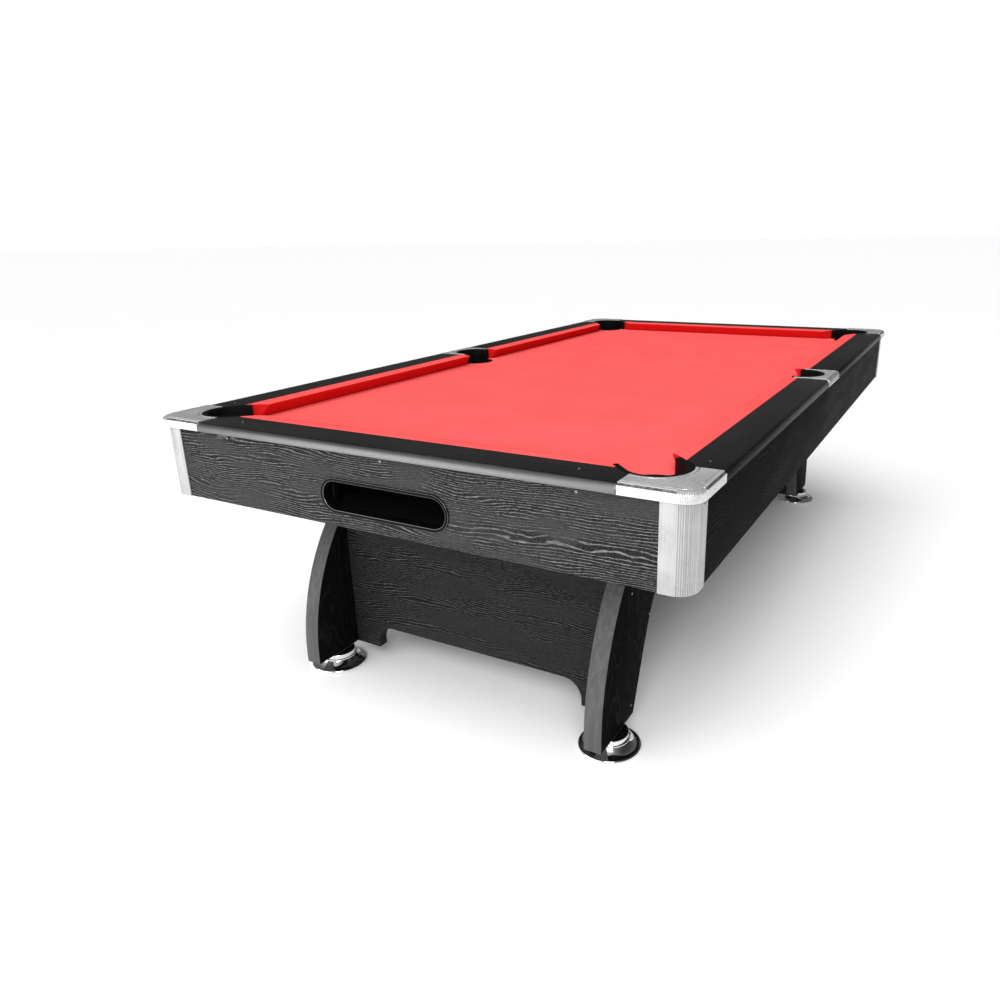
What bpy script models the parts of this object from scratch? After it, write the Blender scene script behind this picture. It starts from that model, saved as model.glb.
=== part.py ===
"""A free-standing pool table with a ball return, in metres, +Z up.

The floor under the middle of the table is the origin. X runs across the table, Y along it.
The front is the end at -Y, which has the ball-return slot. Left and right are as seen from there.
Most outlines are drawn from a corner of the rails: "across" is the distance inwards from the
outer edge of the side rail, and "inward" is the distance inwards from the end of the table.
"""

import math

import bmesh
import bpy
from mathutils import Matrix, Vector

# Overall size
WIDTH = 1.52
LENGTH = 2.74
HEIGHT = 0.81

# Heights of the main layers
GAP = 0.0003
RAIL_TOP = HEIGHT - 0.0015
RAIL_UNDERSIDE = 0.785
BED_TOP = 0.7687
BED_THICKNESS = 0.0237
CLOTH_THICKNESS = 0.0012
CLOTH_TOP = BED_TOP + GAP + CLOTH_THICKNESS
CABINET_BOTTOM = 0.593
CABINET_TOP = RAIL_UNDERSIDE - GAP

# Rails and cushions
RAIL_WIDTH = 0.0996
RAIL_EDGE_RADIUS = 0.012
RAIL_REBATE = 0.035
CUSHION_NOSE = 0.1476
CUSHION_NOSE_TOP = 0.8065
CUSHION_NOSE_BOTTOM = 0.8015
CUSHION_FOOT = 0.128
MIDDLE_JAW_SLOPE = 0.15

# Pockets
CORNER_POCKET = 0.139
SIDE_POCKET = 0.110
LINER_INSIDE = 0.063
LINER_OUTSIDE = 0.0775
LINER_TOP = RAIL_TOP + 0.0008
CORNER_EAR = 0.045
SIDE_EAR = 0.012
DROP_OUTSIDE = 0.068
DROP_BOTTOM = 0.705
POCKET_STEPS = 16
HOLE_STEPS = 24
BED_HOLE = 0.0692

# Corner and side caps
CAP_LENGTH = 0.166
CAP_CORNER_RADIUS = 0.045
CAP_WALL = 0.005
CAP_GAP = 0.0007
MOUTH = LINER_OUTSIDE + CAP_GAP
SIDE_CAP_HALF = 0.0875
SIDE_CAP_DEPTH = 0.112

# Cabinet
POST_INSET = 0.0102
POST_WIDTH = 0.0715
POST_SKIN = 0.003
POST_CORE = 0.022
POST_CORE_WIDTH = 0.0517
PANEL_INSET = 0.0135
PANEL_THICKNESS = 0.018
PANEL_END = POST_INSET + POST_CORE_WIDTH + GAP
BED_NOTCH = PANEL_END + 0.004

# Ball return
SLOT_HEIGHT = 0.672
SLOT_HALF = 0.144
SLOT_FLANGE = 0.045
SLOT_SLEEVE = 0.0385
SLOT_INSIDE = 0.0355
SLOT_CUT = 0.0390
FLANGE_THICKNESS = 0.0025
RUN_WALL = 0.003
SIDE_RUN_HEIGHT = 0.028
SIDE_RUN_X = 0.634
SIDE_RUN_HALF = 0.079
SIDE_RUN_FRONT = -1.1957
SIDE_RUN_REAR = 1.30
SIDE_RUN_SLOPE = 0.0123
SIDE_RUN_MID = 0.656
MOUTH_STEP = 0.004
END_RUN_Y = -1.245
END_RUN_HALF = 0.046
END_RUN_HEIGHT = 0.060
END_RUN_OUTER = 0.715
END_RUN_INNER = 0.2045
END_RUN_SLOPE = 0.018
END_RUN_LOW = 0.629
TRAY_HALF = 0.204
TRAY_FRONT = -1.3300
TRAY_BACK = -1.120
TRAY_FLOOR = 0.622
TRAY_TOP = 0.700

# Frame under the bed, legs and feet
BEAM_TOP = BED_TOP - BED_THICKNESS - GAP
BEAM_DEPTH = 0.075
BEAM_WIDTH = 0.040
BEAM_HALF_LENGTH = 1.19
LEG_X = 0.464
LEG_THICKNESS = 0.048
LEG_BOTTOM = 0.047
LEG_TOP = BEAM_TOP - BEAM_DEPTH - GAP
LEG_OUTER_Y = 1.203
LEG_INNER_Y = 1.003
LEG_SWEEP_RADIUS = 0.609
LEG_SWEEP_BASE = 0.070
LEG_SWEEP_TOP = 0.462
LEG_NECK_Y = 1.000
LEG_NECK_PULL = (-0.030, 0.048)
LEG_NECK_DROP = 0.045
LEG_HIP = (0.700, 0.475)
LEG_HIP_PULL = (0.700, 0.400)
LEG_WAIST_PUSH = (0.840, 0.395)
LEG_WAIST = (0.889, 0.308)
LEG_CALF_PULL = (0.930, 0.236)
LEG_CALF_PUSH = (0.960, 0.150)
PANEL_Y = 1.020
LEG_PANEL_THICKNESS = 0.032
ARCH_HALF = 0.350
ARCH_HEIGHT = 0.121
ARCH_RADIUS = 0.055
FOOT_Y = 1.100
FOOT_RADIUS = 0.083
FOOT_COLLAR = 0.050
FOOT_STEPS = 32
STUD_RADIUS = 0.006
STUD_LENGTH = 0.055
STUD_HOLE = 0.0065
STUD_HOLE_DEPTH = 0.063

SIDES = (("left", -1), ("right", 1))
ENDS = (("front", -1), ("rear", 1))

# --------------------------------------------------------------------------- scene and materials


def clear_scene():
    """Empty the scene and drop what the objects used."""
    for thing in list(bpy.data.objects):
        bpy.data.objects.remove(thing)
    for group in list(bpy.data.collections):
        bpy.data.collections.remove(group)


def new_collection(name):
    group = bpy.data.collections.new(name)
    bpy.context.scene.collection.children.link(group)
    return group


def new_paint(name, colour, roughness, metallic=0.0):
    """A Principled material; its viewport colour follows its base colour."""
    paint = bpy.data.materials.new(name)
    paint.use_nodes = True
    shader = paint.node_tree.nodes["Principled BSDF"]
    shader.inputs["Base Color"].default_value = (*colour, 1.0)
    shader.inputs["Roughness"].default_value = roughness
    shader.inputs["Metallic"].default_value = metallic
    paint.diffuse_color = (*colour, 1.0)
    return paint


clear_scene()
TABLE = new_collection("pool_table")
CUTTERS = new_collection("pool_table_cutters")

RAIL_BLACK = new_paint("rail_black", (0.02, 0.02, 0.02), 0.55)
GRAIN_BLACK = new_paint("grain_black", (0.06, 0.06, 0.06), 0.6)
SIDE_BLACK = new_paint("side_black", (0.015, 0.015, 0.015), 0.6)
EDGE_GREY = new_paint("edge_grey", (0.10, 0.10, 0.10), 0.5)
RED_CLOTH = new_paint("red_cloth", (0.80, 0.08, 0.08), 0.95)
SATIN_SILVER = new_paint("satin_silver", (0.75, 0.76, 0.77), 0.35, 1.0)
MIRROR_CHROME = new_paint("mirror_chrome", (0.85, 0.86, 0.87), 0.06, 1.0)
MOULDED_BLACK = new_paint("moulded_black", (0.012, 0.012, 0.013), 0.45)
RAW_BOARD = new_paint("raw_board", (0.45, 0.32, 0.20), 0.85)
ZINC_STEEL = new_paint("zinc_steel", (0.60, 0.60, 0.58), 0.4, 1.0)

# --------------------------------------------------------------------------- shape helpers


def arc(centre, radius, start, end, steps):
    """Points on an arc from start to end, in degrees."""
    angles = [math.radians(start + (end - start) * i / steps) for i in range(steps + 1)]
    return [(centre[0] + radius * math.cos(a), centre[1] + radius * math.sin(a)) for a in angles]


def stadium(half, radius, middle=0.0, steps=12):
    """A slot outline with round ends, half the distance between their centres being half."""
    right = arc((half, middle), radius, -90, 90, steps)
    left = arc((-half, middle), radius, 90, 270, steps)
    return right + left


def keep(mesh, name, paint):
    """Make an object of a mesh, with its origin in the middle of its box."""
    corners = [vertex.co for vertex in mesh.vertices]
    low = Vector([min(c[i] for c in corners) for i in range(3)])
    high = Vector([max(c[i] for c in corners) for i in range(3)])
    middle = (low + high) / 2
    mesh.transform(Matrix.Translation(-middle))
    thing = bpy.data.objects.new(name, mesh)
    thing.location = middle
    TABLE.objects.link(thing)
    if paint:
        mesh.materials.clear()
        mesh.materials.append(paint)
    return thing


def solid(name, loops, near, far, place, paint):
    """Fill 2D loops, give them depth, and carry each point to its place on the table.

    near and far say where the two faces of the filled outline go. Each is a number, or a function
    of the outline's own two coordinates, for an end that is cut at a slant.
    """
    curve = bpy.data.curves.new(name + "_outline", "CURVE")
    curve.dimensions = "2D"
    curve.fill_mode = "BOTH"
    curve.extrude = 0.5
    for loop in loops:
        spline = curve.splines.new("POLY")
        spline.points.add(len(loop) - 1)
        for point, (u, v) in zip(spline.points, loop):
            point.co = (u, v, 0.0, 1.0)
        spline.use_cyclic_u = True
    drawn = bpy.data.objects.new(name + "_outline", curve)
    TABLE.objects.link(drawn)
    graph = bpy.context.evaluated_depsgraph_get()
    mesh = bpy.data.meshes.new_from_object(drawn.evaluated_get(graph))
    bpy.data.objects.remove(drawn)
    mesh.name = name
    for vertex in mesh.vertices:
        u, v, w = vertex.co
        face = near if w < 0 else far
        depth = face(u, v) if callable(face) else face
        vertex.co = place(u, v, depth)
    close_mesh(mesh)
    return keep(mesh, name, paint)


def close_mesh(mesh):
    """Weld the caps to the sides and point every face outwards."""
    shape = bmesh.new()
    shape.from_mesh(mesh)
    bmesh.ops.remove_doubles(shape, verts=shape.verts, dist=0.00002)
    bmesh.ops.recalc_face_normals(shape, faces=shape.faces)
    shape.to_mesh(mesh)
    shape.free()


def block(name, low, high, paint, bevel=0.0):
    """A board or beam between two corners, with its edges broken by a small bevel."""
    shape = bmesh.new()
    size = [h - l for l, h in zip(low, high)]
    middle = [(h + l) / 2 for l, h in zip(low, high)]
    bmesh.ops.create_cube(shape, size=1.0, matrix=Matrix.Diagonal((*size, 1.0)))
    if bevel:
        bmesh.ops.bevel(shape, geom=shape.edges[:], offset=bevel, segments=1, affect="EDGES")
    mesh = bpy.data.meshes.new(name)
    shape.to_mesh(mesh)
    shape.free()
    mesh.transform(Matrix.Translation(middle))
    return keep(mesh, name, paint)


def rod(name, radius, low, high, x, y, paint, steps=24):
    """An upright round bar."""
    shape = bmesh.new()
    bmesh.ops.create_cone(shape, cap_ends=True, segments=steps, radius1=radius, radius2=radius,
                          depth=high - low)
    mesh = bpy.data.meshes.new(name)
    shape.to_mesh(mesh)
    shape.free()
    mesh.transform(Matrix.Translation((x, y, (low + high) / 2)))
    return keep(mesh, name, paint)


def combine(target, other, how="DIFFERENCE"):
    """Cut or join one solid with another, which then goes to the cutters."""
    TABLE.objects.unlink(other)
    CUTTERS.objects.link(other)
    other.hide_render = True
    other.display_type = "WIRE"
    step = target.modifiers.new(other.name, "BOOLEAN")
    step.operation = how
    step.solver = "EXACT"
    step.object = other
    return target


def upright(sx, sy):
    """Carry (across, inward, height) from a corner of the rails into the table's own frame."""
    def place(across, inward, height):
        return (sx * (WIDTH / 2 - across), sy * (LENGTH / 2 - inward), height)
    return place


# --------------------------------------------------------------------------- pockets


def pocket_loop(centre, direction, inside, outside, reach):
    """A U in plan: half a ring round the centre, with straight ears along direction.

    With inside 0 the U is filled, which is the space that a liner takes up.
    """
    turn = math.degrees(math.atan2(direction[1], direction[0]))
    ahead = Vector(direction).normalized()
    outer = arc(centre, outside, turn - 90, turn - 270, POCKET_STEPS)
    inner = arc(centre, inside, turn + 90, turn + 270, POCKET_STEPS)

    def moved(point):
        return (point[0] + ahead.x * reach, point[1] + ahead.y * reach)

    loop = [moved(outer[0])] + outer + [moved(outer[-1])]
    if inside:
        loop += [moved(inner[0])] + inner + [moved(inner[-1])]
    return loop


def ring(centre, radius):
    """Points round a circle."""
    return arc(centre, radius, 0, 360, HOLE_STEPS)[:-1]


def pocket_liner(name, centre, direction, reach, place):
    """The moulded liner: a U-shaped wall above the bed, on a round drop tube through it."""
    wall = pocket_loop(centre, direction, LINER_INSIDE, LINER_OUTSIDE, reach)
    liner = solid(name, [wall], CLOTH_TOP + GAP, LINER_TOP, place, MOULDED_BLACK)
    rings = [ring(centre, radius) for radius in (DROP_OUTSIDE, LINER_INSIDE)]
    tube = solid(name + "_drop", rings, DROP_BOTTOM, CLOTH_TOP + 2 * GAP, place, None)
    combine(liner, tube, "UNION")


def side_place(sx):
    """Carry (across, along, height) from the middle of a side rail into the table's frame."""
    def place(across, along, height):
        return (sx * (WIDTH / 2 - across), along, height)
    return place


def pockets():
    for side, sx in SIDES:
        for end, sy in ENDS:
            pocket_liner(f"pocket_liner_{end}_{side}", (CORNER_POCKET, CORNER_POCKET), (1, 1),
                         CORNER_EAR, upright(sx, sy))
        pocket_liner(f"pocket_liner_middle_{side}", (SIDE_POCKET, 0.0), (1, 0), SIDE_EAR,
                     side_place(sx))


# --------------------------------------------------------------------------- caps


def corner_loop(inset):
    """The corner cap in plan, with the pocket cut out, drawn inset from its real edge."""
    round_centre = (CAP_CORNER_RADIUS, CAP_CORNER_RADIUS)
    pocket = MOUTH + inset
    corner = arc(round_centre, CAP_CORNER_RADIUS - inset, 180, 270, 8)
    end = CAP_LENGTH - inset
    lip = math.degrees(math.acos((end - CORNER_POCKET) / pocket))
    mouth = arc((CORNER_POCKET, CORNER_POCKET), pocket, -lip, lip - 270, POCKET_STEPS)
    return corner + [(end, inset)] + mouth + [(inset, end)]


def round_rim(thing, on_rim, radius, top):
    """Round the top edges of a cap for which on_rim is true."""
    mesh = thing.data
    shape = bmesh.new()
    shape.from_mesh(mesh)
    bmesh.ops.dissolve_limit(shape, angle_limit=0.001, verts=shape.verts, edges=shape.edges)
    shift = thing.location
    edges = []
    for edge in shape.edges:
        ends = [vertex.co + shift for vertex in edge.verts]
        if all(abs(e.z - top) < 1e-5 and on_rim(e) for e in ends):
            edges.append(edge)
    bmesh.ops.bevel(shape, geom=edges, offset=radius, segments=3, profile=0.5, affect="EDGES",
                    clamp_overlap=True)
    bmesh.ops.recalc_face_normals(shape, faces=shape.faces)
    shape.to_mesh(mesh)
    shape.free()


def corner_caps():
    """Four hollow cast corners that join the rails round the corner pockets."""
    def on_rim(point):
        across = WIDTH / 2 - abs(point.x)
        inward = LENGTH / 2 - abs(point.y)
        beyond = math.hypot(across - CAP_CORNER_RADIUS, inward - CAP_CORNER_RADIUS)
        in_corner = max(across, inward) < CAP_CORNER_RADIUS + 1e-4
        on_round = abs(beyond - CAP_CORNER_RADIUS) < 1e-4 and in_corner
        return across < 1e-4 or inward < 1e-4 or on_round

    for side, sx in SIDES:
        for end, sy in ENDS:
            place = upright(sx, sy)
            name = f"corner_cap_{end}_{side}"
            cap = solid(name, [corner_loop(0.0)], RAIL_UNDERSIDE, HEIGHT, place, SATIN_SILVER)
            round_rim(cap, on_rim, RAIL_EDGE_RADIUS, HEIGHT)
            recess = solid(name + "_recess", [corner_loop(CAP_WALL)], RAIL_UNDERSIDE - CAP_WALL,
                           HEIGHT - CAP_WALL, place, None)
            combine(cap, recess)


def side_caps():
    """Two caps round the middle pockets, each with an arm on both sides of the pocket."""
    def on_rim(point):
        return WIDTH / 2 - abs(point.x) < 1e-4

    mouth = arc((SIDE_POCKET, 0.0), MOUTH, 90, 270, POCKET_STEPS)
    loop = [(0.0, SIDE_CAP_HALF), (SIDE_CAP_DEPTH, SIDE_CAP_HALF), (SIDE_CAP_DEPTH, MOUTH)]
    loop += mouth + [(SIDE_CAP_DEPTH, -MOUTH), (SIDE_CAP_DEPTH, -SIDE_CAP_HALF)]
    loop += [(0.0, -SIDE_CAP_HALF)]
    for side, sx in SIDES:
        cap = solid(f"side_cap_{side}", [loop], RAIL_UNDERSIDE, HEIGHT, side_place(sx), SATIN_SILVER)
        round_rim(cap, on_rim, RAIL_EDGE_RADIUS, HEIGHT)


# --------------------------------------------------------------------------- rails and cushions

JAW = MOUTH * math.sqrt(2)
RAIL_START = CAP_LENGTH + GAP
SIDE_END = SIDE_CAP_HALF + GAP


def rail_profile():
    """A rail's section: a thick inner part on the bed and a rounded lip over the cabinet."""
    centre = (RAIL_EDGE_RADIUS, RAIL_TOP - RAIL_EDGE_RADIUS)
    lip = arc(centre, RAIL_EDGE_RADIUS, 180, 90, 6)
    foot = CLOTH_TOP + GAP
    inner = [(RAIL_WIDTH, RAIL_TOP), (RAIL_WIDTH, foot), (RAIL_REBATE, foot)]
    return [(0.0, RAIL_UNDERSIDE)] + lip + inner + [(RAIL_REBATE, RAIL_UNDERSIDE)]


def cushion_profile():
    """A cushion's section: a nose above a face that runs back down to the bed."""
    back = RAIL_WIDTH + GAP
    foot = CLOTH_TOP + 4 * GAP
    return [(back, RAIL_TOP), (CUSHION_NOSE - 0.004, CUSHION_NOSE_TOP + 0.0006),
            (CUSHION_NOSE, CUSHION_NOSE_TOP - 0.0015), (CUSHION_NOSE, CUSHION_NOSE_BOTTOM),
            (CUSHION_FOOT, foot), (back, foot)]


def jaw_cutter(name, place):
    """The space of a corner liner, which trims a rail end back from it."""
    space = pocket_loop((CORNER_POCKET, CORNER_POCKET), (1, 1), 0, MOUTH, CAP_LENGTH)
    return solid(name, [space], CLOTH_TOP - 0.005, HEIGHT + 0.005, place, None)


def end_rails():
    """The rail and the cushion at each end, cut at both ends for the corner pockets."""
    for end, sy in ENDS:
        def place(inward, height, x):
            return (x, sy * (LENGTH / 2 - inward), height)

        reach = WIDTH / 2 - RAIL_START
        rail = solid(f"rail_{end}", [rail_profile()], -reach, reach, place, RAIL_BLACK)
        for side, sx in SIDES:
            combine(rail, jaw_cutter(f"rail_{end}_{side}_jaw", upright(sx, sy)))

        def jaw(inward, height):
            return WIDTH / 2 - JAW - inward

        solid(f"cushion_{end}", [cushion_profile()], lambda u, v: -jaw(u, v), jaw, place, RED_CLOTH)


def side_rails():
    """Two rails and two cushions along each side, from a corner pocket to the middle pocket."""
    for side, sx in SIDES:
        for end, sy in ENDS:
            def place(across, height, along):
                return (sx * (WIDTH / 2 - across), sy * along, height)

            rail = solid(f"rail_{side}_{end}", [rail_profile()], SIDE_END, LENGTH / 2 - RAIL_START,
                         place, RAIL_BLACK)
            combine(rail, jaw_cutter(f"rail_{side}_{end}_jaw", upright(sx, sy)))

            def corner_jaw(across, height):
                return LENGTH / 2 - JAW - across

            def middle_jaw(across, height):
                return SIDE_END + 0.0005 + MIDDLE_JAW_SLOPE * (across - RAIL_WIDTH)

            solid(f"cushion_{side}_{end}", [cushion_profile()], middle_jaw, corner_jaw, place,
                  RED_CLOTH)


# --------------------------------------------------------------------------- bed


def bed():
    """One board with six round drops, and the cloth stretched over it."""
    half_x = WIDTH / 2 - PANEL_INSET - PANEL_THICKNESS - GAP
    half_y = LENGTH / 2 - PANEL_INSET - PANEL_THICKNESS - GAP
    corner_x = WIDTH / 2 - BED_NOTCH
    corner_y = LENGTH / 2 - BED_NOTCH
    rim = [(corner_x, -half_y), (corner_x, -corner_y), (half_x, -corner_y), (half_x, corner_y),
           (corner_x, corner_y), (corner_x, half_y)]
    rim += [(-x, y) for x, y in reversed(rim)]
    centres = [(sx * (WIDTH / 2 - CORNER_POCKET), sy * (LENGTH / 2 - CORNER_POCKET))
               for _, sx in SIDES for _, sy in ENDS]
    centres += [(sx * (WIDTH / 2 - SIDE_POCKET), 0.0) for _, sx in SIDES]
    holes = [ring(centre, BED_HOLE) for centre in centres]

    def place(x, y, height):
        return (x, y, height)

    solid("bed_board", [rim] + holes, BED_TOP - BED_THICKNESS, BED_TOP, place, RAW_BOARD)
    solid("bed_cloth", [rim] + holes, BED_TOP + GAP, CLOTH_TOP, place, RED_CLOTH)


# --------------------------------------------------------------------------- cabinet


def corner_posts():
    """Moulded posts: a thin rounded skin over the panel ends, on a thicker core at the corner."""
    skin = POST_INSET + POST_SKIN
    core = POST_INSET + POST_CORE
    core_end = POST_INSET + POST_CORE_WIDTH
    end = POST_INSET + POST_WIDTH
    centre = (POST_INSET + CAP_CORNER_RADIUS, POST_INSET + CAP_CORNER_RADIUS)
    outside = arc(centre, CAP_CORNER_RADIUS, 180, 270, 12)
    one_wing = [(end, POST_INSET), (end, skin), (core_end, skin), (core_end, core), (core, core)]
    other_wing = [(core, core_end), (skin, core_end), (skin, end), (POST_INSET, end)]
    for side, sx in SIDES:
        for end_name, sy in ENDS:
            solid(f"corner_post_{end_name}_{side}", [outside + one_wing + other_wing],
                  CABINET_BOTTOM, CABINET_TOP, upright(sx, sy), SATIN_SILVER)


def panels():
    """Two end panels and two side panels; the front one has the ball-return slot."""
    inner = PANEL_INSET + PANEL_THICKNESS
    reach_x = WIDTH / 2 - PANEL_END
    reach_y = LENGTH / 2 - PANEL_END
    for end, sy in ENDS:
        faces = sorted((sy * (LENGTH / 2 - PANEL_INSET), sy * (LENGTH / 2 - inner)))
        low = (-reach_x, faces[0], CABINET_BOTTOM)
        high = (reach_x, faces[1], CABINET_TOP)
        panel = block(f"end_panel_{end}", low, high, GRAIN_BLACK)
        if end == "front":
            slot = solid("end_panel_front_slot", [stadium(SLOT_HALF, SLOT_CUT, SLOT_HEIGHT)],
                         -LENGTH / 2, -LENGTH / 2 + 0.05, lambda x, z, y: (x, y, z), None)
            combine(panel, slot)
    for side, sx in SIDES:
        faces = sorted((sx * (WIDTH / 2 - PANEL_INSET), sx * (WIDTH / 2 - inner)))
        block(f"side_panel_{side}", (faces[0], -reach_y, CABINET_BOTTOM),
              (faces[1], reach_y, CABINET_TOP), SIDE_BLACK)


# --------------------------------------------------------------------------- ball return


def slot_bezel():
    """A moulded rim on the front panel, with a sleeve through it."""
    face = -LENGTH / 2 + PANEL_INSET - GAP
    back = TRAY_FRONT - GAP

    def place(x, z, y):
        return (x, y, z)

    flange, sleeve, inside = [stadium(SLOT_HALF, radius, SLOT_HEIGHT)
                              for radius in (SLOT_FLANGE, SLOT_SLEEVE, SLOT_INSIDE)]
    bezel = solid("ball_slot_bezel", [flange, inside], face - FLANGE_THICKNESS, face, place,
                  MOULDED_BLACK)
    tube = solid("ball_slot_sleeve", [sleeve, inside], face - 0.001, back, place, None)
    combine(bezel, tube, "UNION")


def channel_profile(half, height):
    """A U-shaped gutter, drawn with the top of its floor at height 0."""
    outer = half + RUN_WALL
    return [(-outer, -RUN_WALL), (outer, -RUN_WALL), (outer, height), (half, height),
            (half, 0.0), (-half, 0.0), (-half, height), (-outer, height)]


def ball_runs():
    """Gutters under the pockets, as wide as the drops, that roll the balls to the tray."""
    for side, sx in SIDES:
        def along_side(u, v, y):
            return (sx * (SIDE_RUN_X + u), y, SIDE_RUN_MID + SIDE_RUN_SLOPE * y + v)

        solid(f"ball_run_{side}", [channel_profile(SIDE_RUN_HALF, SIDE_RUN_HEIGHT)], SIDE_RUN_FRONT,
              SIDE_RUN_REAR, along_side, MOULDED_BLACK)

        def along_front(u, v, x):
            return (sx * x, END_RUN_Y + u, END_RUN_LOW + END_RUN_SLOPE * (x - END_RUN_INNER) + v)

        run = solid(f"ball_run_front_{side}", [channel_profile(END_RUN_HALF, END_RUN_HEIGHT)],
                    END_RUN_INNER, END_RUN_OUTER, along_front, MOULDED_BLACK)
        stop_x = sorted((sx * (END_RUN_OUTER - RUN_WALL), sx * (END_RUN_OUTER - GAP)))
        stop_floor = along_front(0.0, 0.0, END_RUN_OUTER)[2]
        stop_half = END_RUN_HALF + RUN_WALL / 2
        stop = block(f"ball_run_front_{side}_stop", (stop_x[0], END_RUN_Y - stop_half, stop_floor - 0.002),
                     (stop_x[1], END_RUN_Y + stop_half, stop_floor + END_RUN_HEIGHT - 0.001), None)
        combine(run, stop, "UNION")
        xs = sorted((sx * (SIDE_RUN_X - SIDE_RUN_HALF), sx * (END_RUN_OUTER + 0.01)))
        side_floor = SIDE_RUN_MID + SIDE_RUN_SLOPE * SIDE_RUN_FRONT
        low = (xs[0], END_RUN_Y + END_RUN_HALF - 0.001, side_floor - MOUTH_STEP)
        high = (xs[1], SIDE_RUN_FRONT + 0.02, RAIL_UNDERSIDE)
        combine(run, block(f"ball_run_front_{side}_mouth", low, high, None))


def ball_tray():
    """The open tray behind the slot, with a gate on each side where a run ends."""
    tray = block("ball_tray", (-TRAY_HALF, TRAY_FRONT, TRAY_FLOOR), (TRAY_HALF, TRAY_BACK, TRAY_TOP),
                 MOULDED_BLACK)
    inner = TRAY_HALF - RUN_WALL
    hollow = block("ball_tray_hollow", (-inner, TRAY_FRONT + RUN_WALL, TRAY_FLOOR + RUN_WALL),
                   (inner, TRAY_BACK - RUN_WALL, TRAY_TOP + 0.01), None)
    combine(tray, hollow)
    gate = block("ball_tray_gates", (-TRAY_HALF - 0.01, END_RUN_Y - END_RUN_HALF, END_RUN_LOW),
                 (TRAY_HALF + 0.01, END_RUN_Y + END_RUN_HALF, TRAY_TOP + 0.02), None)
    combine(tray, gate)
    mouth = block("ball_tray_mouth", (-SLOT_HALF - 0.03, TRAY_FRONT - 0.01, SLOT_HEIGHT - SLOT_INSIDE),
                  (SLOT_HALF + 0.03, TRAY_FRONT + 0.01, TRAY_TOP + 0.03), None)
    combine(tray, mouth)


# --------------------------------------------------------------------------- frame under the bed


def beams():
    """Two long beams on the legs and three cross beams between them."""
    low_z = BEAM_TOP - BEAM_DEPTH
    for side, sx in SIDES:
        xs = sorted((sx * (LEG_X - BEAM_WIDTH / 2), sx * (LEG_X + BEAM_WIDTH / 2)))
        block(f"beam_{side}", (xs[0], -BEAM_HALF_LENGTH, low_z), (xs[1], BEAM_HALF_LENGTH, BEAM_TOP),
              RAW_BOARD, 0.002)
    reach = LEG_X - BEAM_WIDTH / 2 - GAP
    for place_name, y in (("front", -PANEL_Y), ("middle", 0.0), ("rear", PANEL_Y)):
        block(f"cross_beam_{place_name}", (-reach, y - BEAM_WIDTH / 2, low_z),
              (reach, y + BEAM_WIDTH / 2, BEAM_TOP), RAW_BOARD, 0.002)


# --------------------------------------------------------------------------- legs and feet


def bezier(start, pull, push, end, steps):
    """Points on a cubic curve."""
    points = []
    for i in range(steps + 1):
        t = i / steps
        s = 1 - t
        weights = (s ** 3, 3 * s * s * t, 3 * s * t * t, t ** 3)
        control = (start, pull, push, end)
        points.append(tuple(sum(w * c[k] for w, c in zip(weights, control)) for k in (0, 1)))
    return points


def leg_loop():
    """A leg seen from the side, as (distance from the middle of the table, height)."""
    centre = (LEG_OUTER_Y - LEG_SWEEP_RADIUS, LEG_SWEEP_BASE)
    sweep_angle = math.degrees(math.asin((LEG_SWEEP_TOP - LEG_SWEEP_BASE) / LEG_SWEEP_RADIUS))
    outer = arc(centre, LEG_SWEEP_RADIUS, 0, sweep_angle, 10)
    shoulder = outer[-1]
    pull = (shoulder[0] + LEG_NECK_PULL[0], shoulder[1] + LEG_NECK_PULL[1])
    neck = bezier(shoulder, pull, (LEG_NECK_Y, CABINET_BOTTOM - LEG_NECK_DROP),
                  (LEG_NECK_Y, CABINET_BOTTOM), 6)
    wing = bezier(LEG_HIP, LEG_HIP_PULL, LEG_WAIST_PUSH, LEG_WAIST, 8)
    calf = bezier(LEG_WAIST, LEG_CALF_PULL, LEG_CALF_PUSH, (LEG_INNER_Y, LEG_BOTTOM), 8)
    top = [(LEG_NECK_Y, LEG_TOP), (LEG_HIP[0], LEG_TOP)]
    return [(LEG_OUTER_Y, LEG_BOTTOM)] + outer + neck[1:] + top + wing + calf[1:]


def legs():
    """Four swept boards, each with a hole for the stud of its foot."""
    for side, sx in SIDES:
        for end, sy in ENDS:
            def place(distance, height, x):
                return (x, sy * distance, height)

            xs = sorted((sx * (LEG_X - LEG_THICKNESS / 2), sx * (LEG_X + LEG_THICKNESS / 2)))
            name = f"leg_{end}_{side}"
            leg = solid(name, [leg_loop()], xs[0], xs[1], place, EDGE_GREY)
            hole = rod(name + "_hole", STUD_HOLE, LEG_BOTTOM - 0.01, LEG_BOTTOM + STUD_HOLE_DEPTH,
                       sx * LEG_X, sy * FOOT_Y, None)
            combine(leg, hole)


def leg_panels():
    """A board across each pair of legs, with a low arch at the floor."""
    reach = LEG_X - LEG_THICKNESS / 2 - GAP
    right = arc((ARCH_HALF - ARCH_RADIUS, ARCH_HEIGHT - ARCH_RADIUS), ARCH_RADIUS, 0, 90, 8)
    left = [(-x, z) for x, z in right]
    loop = [(-reach, LEG_TOP), (-reach, LEG_BOTTOM), (-ARCH_HALF, LEG_BOTTOM)] + left + right[::-1]
    loop += [(ARCH_HALF, LEG_BOTTOM), (reach, LEG_BOTTOM), (reach, LEG_TOP)]
    for end, sy in ENDS:
        middle = sy * PANEL_Y
        solid(f"leg_panel_{end}", [loop], middle - LEG_PANEL_THICKNESS / 2,
              middle + LEG_PANEL_THICKNESS / 2, lambda x, z, y: (x, y, z), GRAIN_BLACK)


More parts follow.
